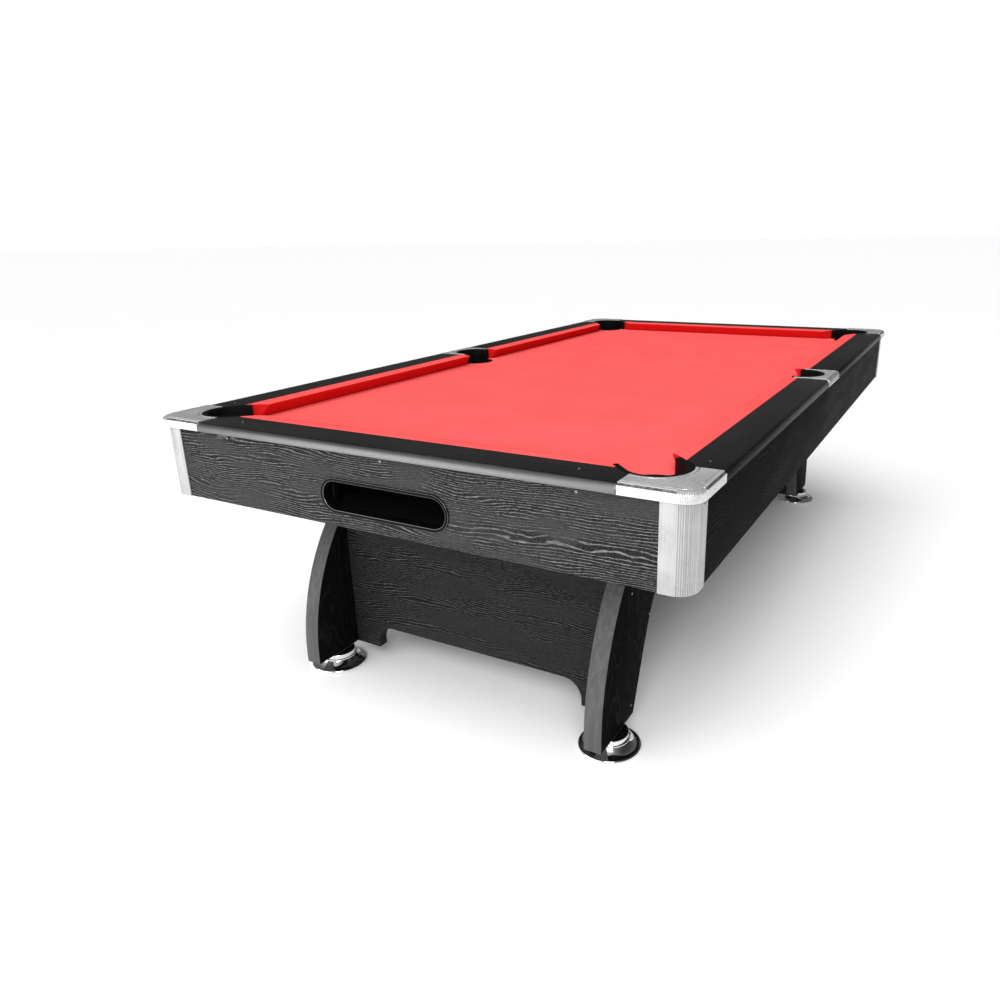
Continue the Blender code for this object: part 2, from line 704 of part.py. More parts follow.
def foot_mesh():
    """A turned levelling foot: a wide flared base with a collar under the leg."""
    rim = [(FOOT_RADIUS - 0.002, 0.009), (FOOT_RADIUS, 0.006), (FOOT_RADIUS, 0.002)]
    flare = bezier((FOOT_COLLAR + 0.003, 0.029), (0.058, 0.022), (0.068, 0.014), (0.077, 0.011), 4)
    top = LEG_BOTTOM - GAP
    profile = [(0.0, top), (FOOT_COLLAR - 0.002, top), (FOOT_COLLAR, top - 0.002), (FOOT_COLLAR, 0.030)]
    profile += flare + rim + [(FOOT_RADIUS - 0.002, 0.0), (0.0, 0.0)]
    mesh = bpy.data.meshes.new("foot_profile")
    points = [(radius, 0.0, height) for radius, height in profile]
    mesh.from_pydata(points, [(i, i + 1) for i in range(len(points) - 1)], [])
    drawn = bpy.data.objects.new("foot_profile", mesh)
    TABLE.objects.link(drawn)
    turn = drawn.modifiers.new("turn", "SCREW")
    turn.steps = FOOT_STEPS
    turn.render_steps = FOOT_STEPS
    turn.use_merge_vertices = True
    turn.merge_threshold = 0.00005
    turn.use_smooth_shade = True
    graph = bpy.context.evaluated_depsgraph_get()
    turned = bpy.data.meshes.new_from_object(drawn.evaluated_get(graph))
    bpy.data.objects.remove(drawn)
    close_mesh(turned)
    turned.set_sharp_from_angle(angle=math.radians(35))
    turned.materials.append(MIRROR_CHROME)
    return turned


def feet():
    """Four feet and their studs; each pair slides on the empty at its stud's axis."""
    shared = foot_mesh()
    for side, sx in SIDES:
        for end, sy in ENDS:
            axis = bpy.data.objects.new(f"foot_axis_{end}_{side}", None)
            axis.location = (sx * LEG_X, sy * FOOT_Y, 0.0)
            TABLE.objects.link(axis)
            foot = bpy.data.objects.new(f"foot_{end}_{side}", shared)
            foot.parent = axis
            TABLE.objects.link(foot)
            stud = rod(f"foot_stud_{end}_{side}", STUD_RADIUS, LEG_BOTTOM, LEG_BOTTOM + STUD_LENGTH,
                       0.0, 0.0, ZINC_STEEL, 16)
            stud.parent = axis


pockets()
corner_caps()
side_caps()
end_rails()
side_rails()
bed()
corner_posts()
panels()
slot_bezel()
ball_runs()
ball_tray()
beams()
legs()
leg_panels()
feet()
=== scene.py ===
# %% [markdown]
# A full-size pool table with a ball return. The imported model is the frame: it fixes every size and
# place, and the cells below only give each piece its fine shape and its finish. The frame is loaded
# first, and the box it fills is kept, because the finished table may not grow past it.

# %% Load the frame
import bpy
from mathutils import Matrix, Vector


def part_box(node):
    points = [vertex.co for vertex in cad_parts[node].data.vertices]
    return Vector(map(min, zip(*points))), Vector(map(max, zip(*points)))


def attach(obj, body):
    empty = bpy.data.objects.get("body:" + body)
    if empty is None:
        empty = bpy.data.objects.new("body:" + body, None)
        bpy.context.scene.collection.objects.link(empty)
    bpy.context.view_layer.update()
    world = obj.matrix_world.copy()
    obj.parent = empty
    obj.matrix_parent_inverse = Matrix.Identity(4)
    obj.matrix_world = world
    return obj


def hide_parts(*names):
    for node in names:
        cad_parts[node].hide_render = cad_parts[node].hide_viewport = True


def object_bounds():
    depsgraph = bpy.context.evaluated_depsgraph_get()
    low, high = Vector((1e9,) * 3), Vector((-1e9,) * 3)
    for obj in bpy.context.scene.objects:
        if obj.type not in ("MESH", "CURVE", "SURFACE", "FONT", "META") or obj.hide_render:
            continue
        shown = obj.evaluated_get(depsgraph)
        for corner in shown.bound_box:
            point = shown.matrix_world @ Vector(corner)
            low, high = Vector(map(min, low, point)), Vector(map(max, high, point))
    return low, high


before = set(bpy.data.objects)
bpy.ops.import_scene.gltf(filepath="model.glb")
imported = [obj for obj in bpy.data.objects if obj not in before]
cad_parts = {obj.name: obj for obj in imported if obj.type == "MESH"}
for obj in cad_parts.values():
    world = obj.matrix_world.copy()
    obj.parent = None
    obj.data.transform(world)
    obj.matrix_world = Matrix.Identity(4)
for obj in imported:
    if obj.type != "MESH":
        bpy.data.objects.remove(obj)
for name in ("Cube", "Light", "Camera"):
    if name in bpy.data.objects:
        bpy.data.objects.remove(bpy.data.objects[name])
CAD_LOW, CAD_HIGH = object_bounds()

# %% Modules and the table's main measures
import math

import bmesh
from mathutils import Matrix, Vector, noise

HALF_WIDTH = CAD_HIGH.x
HALF_LENGTH = CAD_HIGH.y
TOP = CAD_HIGH.z
RAIL_LOW, RAIL_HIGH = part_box("rail_right_front")
RAIL_TOP = RAIL_HIGH.z
RAIL_WIDTH = HALF_WIDTH - RAIL_LOW.x
RAIL_FOOT = RAIL_LOW.z
CAP_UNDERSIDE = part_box("corner_cap_front_right")[0].z
CLOTH_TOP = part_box("bed_cloth")[1].z
GAP = 0.0003
OVERSHOOT = 0.01
SIDES = (("left", -1), ("right", 1))
ENDS = (("front", -1), ("rear", 1))
TABLE_BODY = "table"
print("rails: top at", round(RAIL_TOP, 4), "width", round(RAIL_WIDTH, 4))
print("cloth: top at", round(CLOTH_TOP, 4))

# %% [markdown]
# Most pieces of a table are sections carried along a line: a rail, a cushion, a pocket rim. One
# helper skins a row of closed rings with quads, so a piece is only a rule for its rings. Curves with
# a bevel object could make the same shapes, but rings give full control of the slanted ends.

# %% Points on arcs and curves
def arc(centre, radius, start, end, steps):
    """Points on an arc from start to end, in degrees."""
    angles = [math.radians(start + (end - start) * i / steps) for i in range(steps + 1)]
    return [(centre[0] + radius * math.cos(a), centre[1] + radius * math.sin(a)) for a in angles]


def bezier(start, pull, push, end, steps):
    """Points on a cubic curve in a plane."""
    points = []
    for i in range(steps + 1):
        t = i / steps
        s = 1 - t
        weights = (s ** 3, 3 * s * s * t, 3 * s * t * t, t ** 3)
        points.append(tuple(sum(w * c[k] for w, c in zip(weights, (start, pull, push, end)))
                            for k in (0, 1)))
    return points


def corner_place(sx, sy):
    """Carry (across, inward, height) from a corner of the table into its own frame."""
    return lambda across, inward, z: (sx * (HALF_WIDTH - across), sy * (HALF_LENGTH - inward), z)


def side_place(sx):
    """Carry (across, along, height) from the middle of a side into the table's frame."""
    return lambda across, along, z: (sx * (HALF_WIDTH - across), along, z)


# %% Skin, cut and finish
def keep(name, shape, paint):
    """Turn a bmesh into a smooth-shaded object with its faces pointing outwards."""
    bmesh.ops.recalc_face_normals(shape, faces=shape.faces)
    mesh = bpy.data.meshes.new(name)
    shape.to_mesh(mesh)
    shape.free()
    piece = bpy.data.objects.new(name, mesh)
    bpy.context.scene.collection.objects.link(piece)
    if paint:
        mesh.materials.append(paint)
    smooth(piece)
    return piece


def smooth(piece, angle=32):
    piece.data.shade_smooth()
    piece.data.set_sharp_from_angle(angle=math.radians(angle))


def loft(name, rings, paint=None, round_path=False, second_columns=()):
    """Skin closed rings with quads, and cap both ends unless the path closes on itself.

    The faces of the second columns take the piece's second finish.
    """
    shape = bmesh.new()
    rows = [[shape.verts.new(point) for point in ring] for ring in rings]
    pairs = list(zip(rows, rows[1:])) + ([(rows[-1], rows[0])] if round_path else [])
    for one, two in pairs:
        for i in range(len(one)):
            j = (i + 1) % len(one)
            face = shape.faces.new((one[i], one[j], two[j], two[i]))
            face.material_index = int(i in second_columns)
    if not round_path:
        shape.faces.new(rows[0])
        shape.faces.new(rows[-1])
    return keep(name, shape, paint)


def bake(piece, angle=32):
    """Apply a piece's modifiers to its mesh."""
    graph = bpy.context.evaluated_depsgraph_get()
    mesh = bpy.data.meshes.new_from_object(piece.evaluated_get(graph))
    piece.modifiers.clear()
    piece.data = mesh
    smooth(piece, angle)
    return piece


def cut(piece, other, how="DIFFERENCE"):
    """Cut or join a piece with another, which is used up."""
    step = piece.modifiers.new("cut", "BOOLEAN")
    step.operation = how
    step.solver = "EXACT"
    step.object = other
    bake(piece)
    bpy.data.objects.remove(other)
    return piece


def soften(piece, width, segments=2, angle=40):
    """Break the sharp edges with a rounded bevel."""
    step = piece.modifiers.new("soften", "BEVEL")
    step.width = width
    step.segments = segments
    step.limit_method = "ANGLE"
    step.angle_limit = math.radians(angle)
    return bake(piece)


def block(name, low, high, paint):
    """A board between two corners."""
    x0, y0, z0 = low
    x1, y1, z1 = high
    rings = [[(x0, y0, z), (x1, y0, z), (x1, y1, z), (x0, y1, z)] for z in (z0, z1)]
    return loft(name, rings, paint)


def settle(piece, slot, *nodes, body=TABLE_BODY):
    """Fix a finished piece to its body and hide the frame nodes it stands for; the slot is not used."""
    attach(piece, body)
    if nodes:
        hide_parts(*nodes)
    return piece


# %% [markdown]
# Finishes are node materials on Object coordinates, which are metres here, so a noise scale of 500
# means grains about two millimetres across. Small helpers keep the node code short: one adds a node
# and plugs its inputs, another does arithmetic. Both serve geometry trees too.

# %% Node helpers
def plug(tree, socket, value):
    if isinstance(value, bpy.types.NodeSocket):
        tree.links.new(value, socket)
    else:
        socket.default_value = value


def new_node(tree, kind, inputs=None, **settings):
    """A node with its settings and its inputs, each a socket or a value."""
    made = tree.nodes.new(kind)
    for key, value in settings.items():
        setattr(made, key, value)
    for key, value in (inputs or {}).items():
        plug(tree, made.inputs[key], value)
    return made


def add(tree, kind, inputs=None, **settings):
    """A shader node, named without its prefix."""
    return new_node(tree, "ShaderNode" + kind, inputs, **settings)


def calc(tree, operation, *values):
    """Arithmetic on sockets or numbers."""
    made = add(tree, "Math", operation=operation)
    for i, value in enumerate(values):
        plug(tree, made.inputs[i], value)
    return made.outputs[0]


def mixed(tree, factor, one, two):
    """A colour between two, each a socket or three numbers."""
    made = add(tree, "Mix", data_type="RGBA")
    plug(tree, made.inputs[0], factor)
    plug(tree, made.inputs[6], one if isinstance(one, bpy.types.NodeSocket) else (*one, 1.0))
    plug(tree, made.inputs[7], two if isinstance(two, bpy.types.NodeSocket) else (*two, 1.0))
    return made.outputs[2]


def ramp(tree, value, low, high, to_low=0.0, to_high=1.0):
    """Carry a value from one range to another with soft ends."""
    made = add(tree, "MapRange", {0: value, 1: low, 2: high, 3: to_low, 4: to_high},
               interpolation_type="SMOOTHSTEP")
    return made.outputs[0]


def grains(tree, scale, stretch=(1, 1, 1), detail=3.0, roughness=0.55):
    """Noise on the piece's own coordinates, stretched along an axis where grain runs."""
    where = add(tree, "TexCoord").outputs["Object"]
    placed = add(tree, "Mapping", {"Vector": where, "Scale": stretch})
    return add(tree, "TexNoise", {"Vector": placed.outputs[0], "Scale": scale, "Detail": detail,
                                  "Roughness": roughness}).outputs["Fac"]


def new_finish(name, metallic=0.0, specular=0.5):
    """A Principled material, its tree and its shader."""
    paint = bpy.data.materials.new(name)
    paint.use_nodes = True
    shader = paint.node_tree.nodes["Principled BSDF"]
    shader.inputs["Metallic"].default_value = metallic
    shader.inputs["Specular IOR Level"].default_value = specular
    return paint, paint.node_tree, shader


def dress(tree, shader, colour, roughness, height=None, depth=0.0003, strength=0.5):
    """Plug colour, roughness and a bump height into a shader."""
    plug(tree, shader.inputs["Base Color"], colour)
    plug(tree, shader.inputs["Roughness"], roughness)
    if height is not None:
        bump = add(tree, "Bump", {"Height": height, "Distance": depth, "Strength": strength})
        tree.links.new(bump.outputs["Normal"], shader.inputs["Normal"])


# %% [markdown]
# The cabinet is board under printed and pressed laminate. The ends and the boards between the legs
# carry a coarse oak emboss: wavy ridges about seven millimetres apart, broken by pores, with a few
# arched figures. The ridges are coloured lighter than the valleys, which is partly the print and partly
# a painted highlight on the raised grain, and the boards between the legs, under the cabinet, take a
# darker copy as painted shade. The ridges are the level lines of a height that noise bends, which closes
# them into arches by itself. An image would be simpler, but the nodes keep their detail at any distance.

# %% Embossed oak laminate
GRAIN_PITCH = 0.0066


def along_grain(along, grain, across):
    """A stretch that is coarse along the grain and fine across it, in features a metre."""
    stretch = [across] * 3
    stretch[along] = grain
    return stretch


def oak_emboss(name, valley, ridge, along=0, strength=0.9, specular=0.3, ior=1.2):
    """Black laminate with oak grain pressed in along one axis (0 is X, 1 is Y, 2 is Z)."""
    paint, tree, shader = new_finish(name, specular=specular)
    shader.inputs["IOR"].default_value = ior
    split = add(tree, "SeparateXYZ", {"Vector": add(tree, "TexCoord").outputs["Object"]})
    across = split.outputs[0 if along == 2 else 2]
    figure = grains(tree, 1.0, along_grain(along, 1.6, 8.0), detail=1.0)
    arches = grains(tree, 1.0, along_grain(along, 5.5, 19.0), detail=1.5)
    wobble = grains(tree, 1.0, along_grain(along, 26.0, 90.0), detail=2.0)
    level = across
    for bend, reach in ((figure, 0.085), (arches, 0.034), (wobble, 0.0055)):
        level = calc(tree, "MULTIPLY_ADD", bend, reach, level)
    wave = calc(tree, "SINE", calc(tree, "MULTIPLY", level, 2 * math.pi / GRAIN_PITCH))
    pores = grains(tree, 1.0, along_grain(along, 95.0, 520.0), detail=3.0, roughness=0.7)
    speckle = grains(tree, 1.0, along_grain(along, 240.0, 480.0), detail=2.0, roughness=0.7)
    crest = ramp(tree, wave, 0.35, 1.00)
    broken = ramp(tree, pores, 0.32, 0.54)
    quiet = ramp(tree, grains(tree, 1.0, along_grain(along, 4.0, 17.0), detail=2.0), 0.36, 0.58)
    lines = calc(tree, "MULTIPLY", calc(tree, "MULTIPLY", crest, broken),
                 calc(tree, "MULTIPLY_ADD", quiet, 0.75, 0.25))
    dots = calc(tree, "MULTIPLY", ramp(tree, speckle, 0.48, 0.68), 0.26)
    # The lighter ridge colour goes on the grain lines and speckle: partly print, partly a painted highlight
    # on the raised ridges.
    light = calc(tree, "MAXIMUM", lines, dots)
    even = [0.75 * v + 0.15 * r for v, r in zip(valley, ridge)]
    colour = mixed(tree, light, mixed(tree, quiet, even, valley), ridge)
    height = calc(tree, "MULTIPLY_ADD", speckle, 0.5, calc(tree, "MULTIPLY", crest, 0.9))
    dress(tree, shader, colour, ramp(tree, light, 0.0, 1.0, 0.60, 0.42), height, depth=0.0012,
          strength=strength)
    return paint


OAK_FRONT = oak_emboss("oak_emboss_ends", (0.006, 0.006, 0.006), (0.15, 0.15, 0.15))
# The boards between the legs take a darker copy of the end laminate, which is painted shade under the
# cabinet.
OAK_LEG_PANEL_SHADED = oak_emboss("oak_emboss_leg_boards_shaded", (0.003, 0.003, 0.003), (0.075, 0.075, 0.075))
OAK_SIDE = oak_emboss("oak_emboss_sides", (0.003, 0.003, 0.003), (0.014, 0.014, 0.014), along=1,
                      strength=0.3, specular=0.15, ior=1.12)
OAK_LEG_FACE = oak_emboss("oak_emboss_legs", (0.003, 0.003, 0.003), (0.008, 0.008, 0.008), along=2,
                          strength=0.18, specular=0.12, ior=1.12)
print("oak laminates:", OAK_FRONT.name, OAK_SIDE.name, OAK_LEG_FACE.name)

# %% [markdown]
# The rails wear a hard laminate with a fine pebble, which sparkles in low light. The front and rear
# lips take a copy of it with a higher index of refraction, a painted highlight that makes them shine,
# and the side lips a copy with a lower one, painted shade that keeps them dark. The sawn edges of the
# legs are hidden by a paler strip, whose tone is partly painted light on the lit edges.

# %% Pebbled rail laminate and grey edge band
def rail_laminate(name, ior):
    """Hard black laminate with a pebbled surface, which sparkles a little in low light."""
    paint, tree, shader = new_finish(name, specular=0.5)
    shader.inputs["IOR"].default_value = ior
    pebble = grains(tree, 420.0, detail=3.0, roughness=0.6)
    fleck = calc(tree, "MAXIMUM", ramp(tree, grains(tree, 900.0, detail=2.0), 0.56, 0.74),
                 ramp(tree, grains(tree, 240.0, detail=2.0), 0.52, 0.70, 0.0, 0.45))
    worn = ramp(tree, grains(tree, 7.0, detail=4.0), 0.35, 0.75, 0.2, 1.0)
    colour = mixed(tree, calc(tree, "MULTIPLY", fleck, worn), (0.004, 0.004, 0.0042),
                   (0.050, 0.052, 0.050))
    dress(tree, shader, colour, ramp(tree, pebble, 0.3, 0.7, 0.30, 0.42), pebble, 0.0006, 0.5)
    return paint


def edge_band(name, shade):
    """The strip glued on a board's edge: plain, with a fine stipple and a roll mark; its paler tone is
    partly painted light.
    """
    paint, tree, shader = new_finish(name, specular=0.3)
    shader.inputs["IOR"].default_value = 1.3
    stipple = grains(tree, 650.0, detail=2.0)
    rolled = grains(tree, 3.0, (30, 30, 1), detail=2.0)
    colour = mixed(tree, ramp(tree, rolled, 0.3, 0.7), (shade * 0.8,) * 3, (shade * 1.15,) * 3)
    colour = mixed(tree, ramp(tree, stipple, 0.4, 0.75, 0.0, 0.35), colour, (shade * 1.6,) * 3)
    dress(tree, shader, colour, ramp(tree, stipple, 0.3, 0.7, 0.40, 0.55), stipple, 0.0003, 0.4)
    return paint


# Copies of one laminate: the raised index on the front and rear lips is a painted highlight, the lowered
# one on the side lips painted shade.
RAIL_FINISH = rail_laminate("rail_laminate_fine", 1.40)
LIT_LIP = rail_laminate("rail_lip_painted_highlight", 2.10)
SHADED_SIDE_LIP = rail_laminate("rail_lip_painted_shade", 1.12)
LEG_BAND_AND_LIGHT = edge_band("leg_edge_band_and_painted_light", 0.07)
print("laminates:", RAIL_FINISH.name, LIT_LIP.name, SHADED_SIDE_LIP.name, LEG_BAND_AND_LIGHT.name)

# %% [markdown]
# The cloth is a worsted wool blend: a tight plain weave with almost no nap. Its threads are less than
# a millimetre apart, too fine to model, so two crossed sine waves make the weave in the bump, and a
# slow noise gives the faint marks that play leaves. Faces turned away from the light above, such as
# the faces under the cushions' noses, take a darker red, which is painted shade.

# %% Worsted cloth
THREAD_PITCH = 0.0009
SHADED_RED = (0.56, 0.012, 0.012)


def worsted(name, deep, bright):
    """Worsted cloth between two reds, and a darker third, painted shade, where it is turned away from the
    light above.
    """
    paint, tree, shader = new_finish(name, specular=0.05)
    where = add(tree, "TexCoord")
    split = add(tree, "SeparateXYZ", {"Vector": where.outputs["Object"]})
    turns = 2 * math.pi / THREAD_PITCH
    threads = [calc(tree, "SINE", calc(tree, "MULTIPLY", split.outputs[i], turns)) for i in (0, 1)]
    weave = calc(tree, "MULTIPLY", *threads)
    marks = ramp(tree, grains(tree, 5.0, detail=4.0, roughness=0.6), 0.30, 0.72)
    slub = grains(tree, 260.0, (1.0, 0.25, 1.0), detail=2.0)
    shade = calc(tree, "MULTIPLY_ADD", slub, 0.5, calc(tree, "MULTIPLY", marks, 0.5))
    # Painted shade: the more a face turns from the light above, the more it takes the shaded red.
    up = add(tree, "SeparateXYZ", {"Vector": where.outputs["Normal"]}).outputs[2]
    colour = mixed(tree, ramp(tree, up, 0.35, 0.95), SHADED_RED, mixed(tree, shade, deep, bright))
    height = calc(tree, "MULTIPLY_ADD", weave, 0.4, slub)
    dress(tree, shader, colour, ramp(tree, slub, 0.3, 0.7, 0.82, 0.95), height, 0.0002, 0.35)
    return paint


BED_RED = worsted("bed_worsted", (0.84, 0.095, 0.095), (0.92, 0.125, 0.122))
CUSHION_RED = worsted("cushion_worsted", (0.82, 0.082, 0.082), (0.90, 0.110, 0.107))
print("cloth:", BED_RED.name, CUSHION_RED.name)

# %% [markdown]
# The caps and the posts are satin silver: not a bare metal but a metallic lacquer, so the metallic
# value stays under one half. The bottoms of flutes and grooves get a dull dark grey of their own, which
# is painted shade. The feet are chrome plate, and the studs and screws are plated steel.

# %% Metals
def satin_metal(name, shade, brush):
    """Satin silver: fine brushed streaks over cloudy handling marks."""
    paint, tree, shader = new_finish(name, metallic=0.45, specular=0.5)
    streaks = grains(tree, 1.0, brush, detail=3.0)
    cloud = grains(tree, 16.0, detail=3.0)
    mottle = calc(tree, "MULTIPLY_ADD", streaks, 0.6, calc(tree, "MULTIPLY", cloud, 0.4))
    dark, light = shade * 0.82, shade * 1.10
    colour = mixed(tree, ramp(tree, mottle, 0.36, 0.64), (dark, dark, dark * 1.02), (light,) * 3)
    dress(tree, shader, colour, ramp(tree, cloud, 0.3, 0.7, 0.26, 0.36), streaks, 0.0001, 0.25)
    return paint


def mirror_metal():
    """Chrome plate: a mirror with faint smears."""
    paint, tree, shader = new_finish("mirror_chrome_fine", metallic=1.0)
    smear = grains(tree, 38.0, detail=4.0)
    colour = mixed(tree, smear, (0.80, 0.81, 0.82), (0.88, 0.89, 0.90))
    dress(tree, shader, colour, ramp(tree, smear, 0.4, 0.8, 0.03, 0.10), smear, 0.0002, 0.05)
    return paint


def plated_steel(name, shade, rough):
    """Zinc-plated or blackened steel with a crystalline mottle."""
    paint, tree, shader = new_finish(name, metallic=1.0)
    mottle = grains(tree, 900.0, detail=2.0)
    colour = mixed(tree, mottle, (shade * 0.8,) * 3, (shade * 1.1, shade * 1.1, shade * 1.12))
    dress(tree, shader, colour, ramp(tree, mottle, 0.3, 0.7, rough, rough + 0.15), mottle, 0.0001, 0.2)
    return paint


def groove_shade_metal():
    """The bottoms of flutes and grooves, a mottled dark grey that is painted shade."""
    paint, tree, shader = new_finish("satin_silver_groove_shade", specular=0.2)
    groove_mottle = grains(tree, 120.0, (1.0, 1.0, 0.2), detail=3.0)
    # Painted shade: a mottled dark grey for the shade at the bottoms of flutes and grooves.
    colour = mixed(tree, ramp(tree, groove_mottle, 0.35, 0.7), (0.04, 0.04, 0.04), (0.13, 0.13, 0.13))
    dress(tree, shader, colour, ramp(tree, groove_mottle, 0.3, 0.7, 0.45, 0.6), groove_mottle, 0.0001, 0.2)
    return paint


SATIN = satin_metal("satin_silver_fine", 0.56, (90.0, 260.0, 260.0))
POST_SATIN = satin_metal("satin_extrusion", 0.34, (420.0, 420.0, 5.0))
GROOVE_SHADE = groove_shade_metal()
CHROME = mirror_metal()
ZINC = plated_steel("zinc_steel_fine", 0.62, 0.28)
BLACK_ZINC = plated_steel("black_zinc", 0.20, 0.10)
print("metals:", SATIN.name, POST_SATIN.name, CHROME.name, ZINC.name, BLACK_ZINC.name)

# %% [markdown]
# The liners, the bezel and the tray are black mouldings, which differ only in gloss. The board and the
# timber under the bed are darkened as painted shade, so they don't glow through the pockets or in the feet.

# %% Mouldings, board and timber
def moulding(name, shade, rough, specular, ior=1.3, texture=0.35):
    """Black plastic or enamel, with the fine texture of its mould."""
    paint, tree, shader = new_finish(name, specular=specular)
    shader.inputs["IOR"].default_value = ior
    spark = grains(tree, 1100.0, detail=3.0)
    flow = grains(tree, 11.0, detail=3.0)
    colour = mixed(tree, flow, (shade * 0.7,) * 3, (shade * 1.4,) * 3)
    dress(tree, shader, colour, ramp(tree, spark, 0.3, 0.7, rough, rough * 1.4), spark, 0.0002, texture)
    return paint


def raw_board():
    """Fibreboard darkened to a dark brown as painted shade, with finer light and dark fibres."""
    paint, tree, shader = new_finish("raw_board_painted_shade", specular=0.2)
    fibre = grains(tree, 500.0, (1.0, 0.4, 3.0), detail=4.0, roughness=0.7)
    cloud = grains(tree, 9.0, detail=3.0)
    colour = mixed(tree, fibre, (0.030, 0.024, 0.019), (0.075, 0.062, 0.050))
    colour = mixed(tree, ramp(tree, cloud, 0.4, 0.8, 0.0, 0.35), colour, (0.050, 0.041, 0.033))
    dress(tree, shader, colour, ramp(tree, fibre, 0.3, 0.7, 0.75, 0.92), fibre, 0.0004, 0.4)
    return paint


def sawn_timber(along):
    """Pine for the hidden frame, darkened as painted shade, its growth rings stretched along the beam."""
    paint, tree, shader = new_finish(f"sawn_timber_{'xyz'[along]}", specular=0.2)
    stretch = [1.0, 1.0, 1.0]
    stretch[along] = 0.06
    rings = calc(tree, "SINE", calc(tree, "MULTIPLY", grains(tree, 14.0, stretch, detail=1.0), 60.0))
    fibre = grains(tree, 420.0, stretch, detail=3.0)
    shade = calc(tree, "MULTIPLY_ADD", fibre, 0.5, ramp(tree, rings, -0.4, 1.0, 0.0, 0.5))
    colour = mixed(tree, shade, (0.045, 0.034, 0.025), (0.100, 0.080, 0.060))
    dress(tree, shader, colour, ramp(tree, fibre, 0.3, 0.7, 0.70, 0.88), shade, 0.0005, 0.4)
    return paint


# The bezel's rounded edges take a copy with a high index of refraction, a painted highlight; the flat rim
# keeps a low index, which keeps it black.
LINER_BLACK = moulding("liner_moulding", 0.005, 0.42, 0.15, 1.2)
GLOSS_BLACK = moulding("bezel_moulding", 0.002, 0.12, 0.5, 1.14, 0.02)
EDGE_HIGHLIGHT = moulding("bezel_edges_painted_highlight", 0.002, 0.10, 0.5, 1.75, 0.02)
TRAY_BLACK = moulding("tray_moulding", 0.006, 0.45, 0.1)
BOARD = raw_board()
TIMBER_X = sawn_timber(0)
TIMBER_Y = sawn_timber(1)
print("mouldings:", LINER_BLACK.name, GLOSS_BLACK.name, EDGE_HIGHLIGHT.name, TRAY_BLACK.name)
print("board and timber:", BOARD.name, TIMBER_X.name, TIMBER_Y.name)

# %% [markdown]
# The bed board, the beams and the ball runs already have the right shape in the frame. Their meshes
# stay as they are, and only the material in each slot is changed.

# %% Finishes for the frame nodes that stay
def repaint(node, paint):
    """Give a frame node a detailed finish, without touching its mesh."""
    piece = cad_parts[node]
    for holder in piece.material_slots:
        holder.material = paint


repaint("bed_board", BOARD)
for side, _ in SIDES:
    repaint(f"beam_{side}", TIMBER_Y)
    repaint(f"ball_run_{side}", TRAY_BLACK)
    repaint(f"ball_run_front_{side}", TRAY_BLACK)
for where in ("front", "middle", "rear"):
    repaint(f"cross_beam_{where}", TIMBER_X)
print("frame nodes with a new finish: the bed board, five beams and four ball runs")

# %% [markdown]
# The rails are shaped board: a rounded lip over the cabinet, a flat top, and a square inner edge
# where the cushion is fixed. Each is one section carried along the side, and the corner end is cut
# back round the pocket, as a router would do it.

# %% Pocket geometry shared by rails, caps and liners
LINER_LOW, LINER_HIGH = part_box("pocket_liner_front_right")
LINER_TOP = LINER_HIGH.z
LINER_INSIDE = 0.063
LINER_OUTSIDE = 0.0775
CORNER_POCKET = 0.139
SIDE_POCKET = 0.110
CORNER_EAR = 0.045
SIDE_EAR = 0.012
MOUTH = LINER_OUTSIDE + 0.0007
CAP_LENGTH = 0.166
DIAGONAL = (math.sqrt(0.5), math.sqrt(0.5))
ACROSS = (1.0, 0.0)


def u_path(centre, direction, reach, steps=40):
    """A U in plan as (point, outward direction): one ear, half a circle, the other ear."""
    turn = math.degrees(math.atan2(direction[1], direction[0]))
    path = []
    for x, y in arc(centre, 1.0, turn - 90, turn - 270, steps):
        path.append((centre, (x - centre[0], y - centre[1])))
    shift = (centre[0] + direction[0] * reach, centre[1] + direction[1] * reach)
    return [(shift, path[0][1])] + path + [(shift, path[-1][1])]


def filled_u(name, centre, direction, reach, low, place):
    """The space of a pocket as a solid, for cutting, from a height up."""
    outline = [(c[0] + MOUTH * d[0], c[1] + MOUTH * d[1]) for c, d in u_path(centre, direction, reach)]
    return loft(name, [[place(a, b, z) for a, b in outline] for z in (low, TOP + OVERSHOOT)])


print("pockets: mouth", round(2 * MOUTH, 4), "wide, drop", round(2 * LINER_INSIDE, 4))

# %% Rails
LIP_DEPTH = 0.012
LIP_HEIGHT = 0.021
REBATE = 0.035
INNER_EDGE = 0.0010
LOWER_EDGE = 0.0008
END_ROUND = 0.004
LIP_COLUMNS = range(1, 16)


def rail_section(less):
    """(inset, height) round a rail, with the lip and the top pulled in by less."""
    lip = [(less + LIP_DEPTH * (1 + x), RAIL_TOP - LIP_HEIGHT * (1 - z) - less * z)
           for x, z in arc((0, 0), 1, 180, 90, 18)]
    edge = arc((RAIL_WIDTH - INNER_EDGE, RAIL_TOP - less - INNER_EDGE), INNER_EDGE, 90, 0, 3)
    below = [(REBATE, CAP_UNDERSIDE), (less + LOWER_EDGE, CAP_UNDERSIDE),
             (less, CAP_UNDERSIDE + LOWER_EDGE)]
    return below + lip + edge + [(RAIL_WIDTH, RAIL_FOOT), (REBATE, RAIL_FOOT)]


def rail(name, start, end, place, lip_finish):
    """A rail whose lip is rounded off at both ends, where it meets a cap."""
    quarter = [(END_ROUND * (1 - math.cos(t)), END_ROUND * (1 - math.sin(t)))
               for t in (math.radians(30 * i) for i in range(4))]
    stations = [(start + along, less) for along, less in quarter]
    stations += [(end - along, less) for along, less in reversed(quarter)]
    rings = [[place(a, z, along) for a, z in rail_section(less)] for along, less in stations]
    piece = loft(name, rings, RAIL_FINISH, second_columns=LIP_COLUMNS)
    piece.data.materials.append(lip_finish)
    return piece


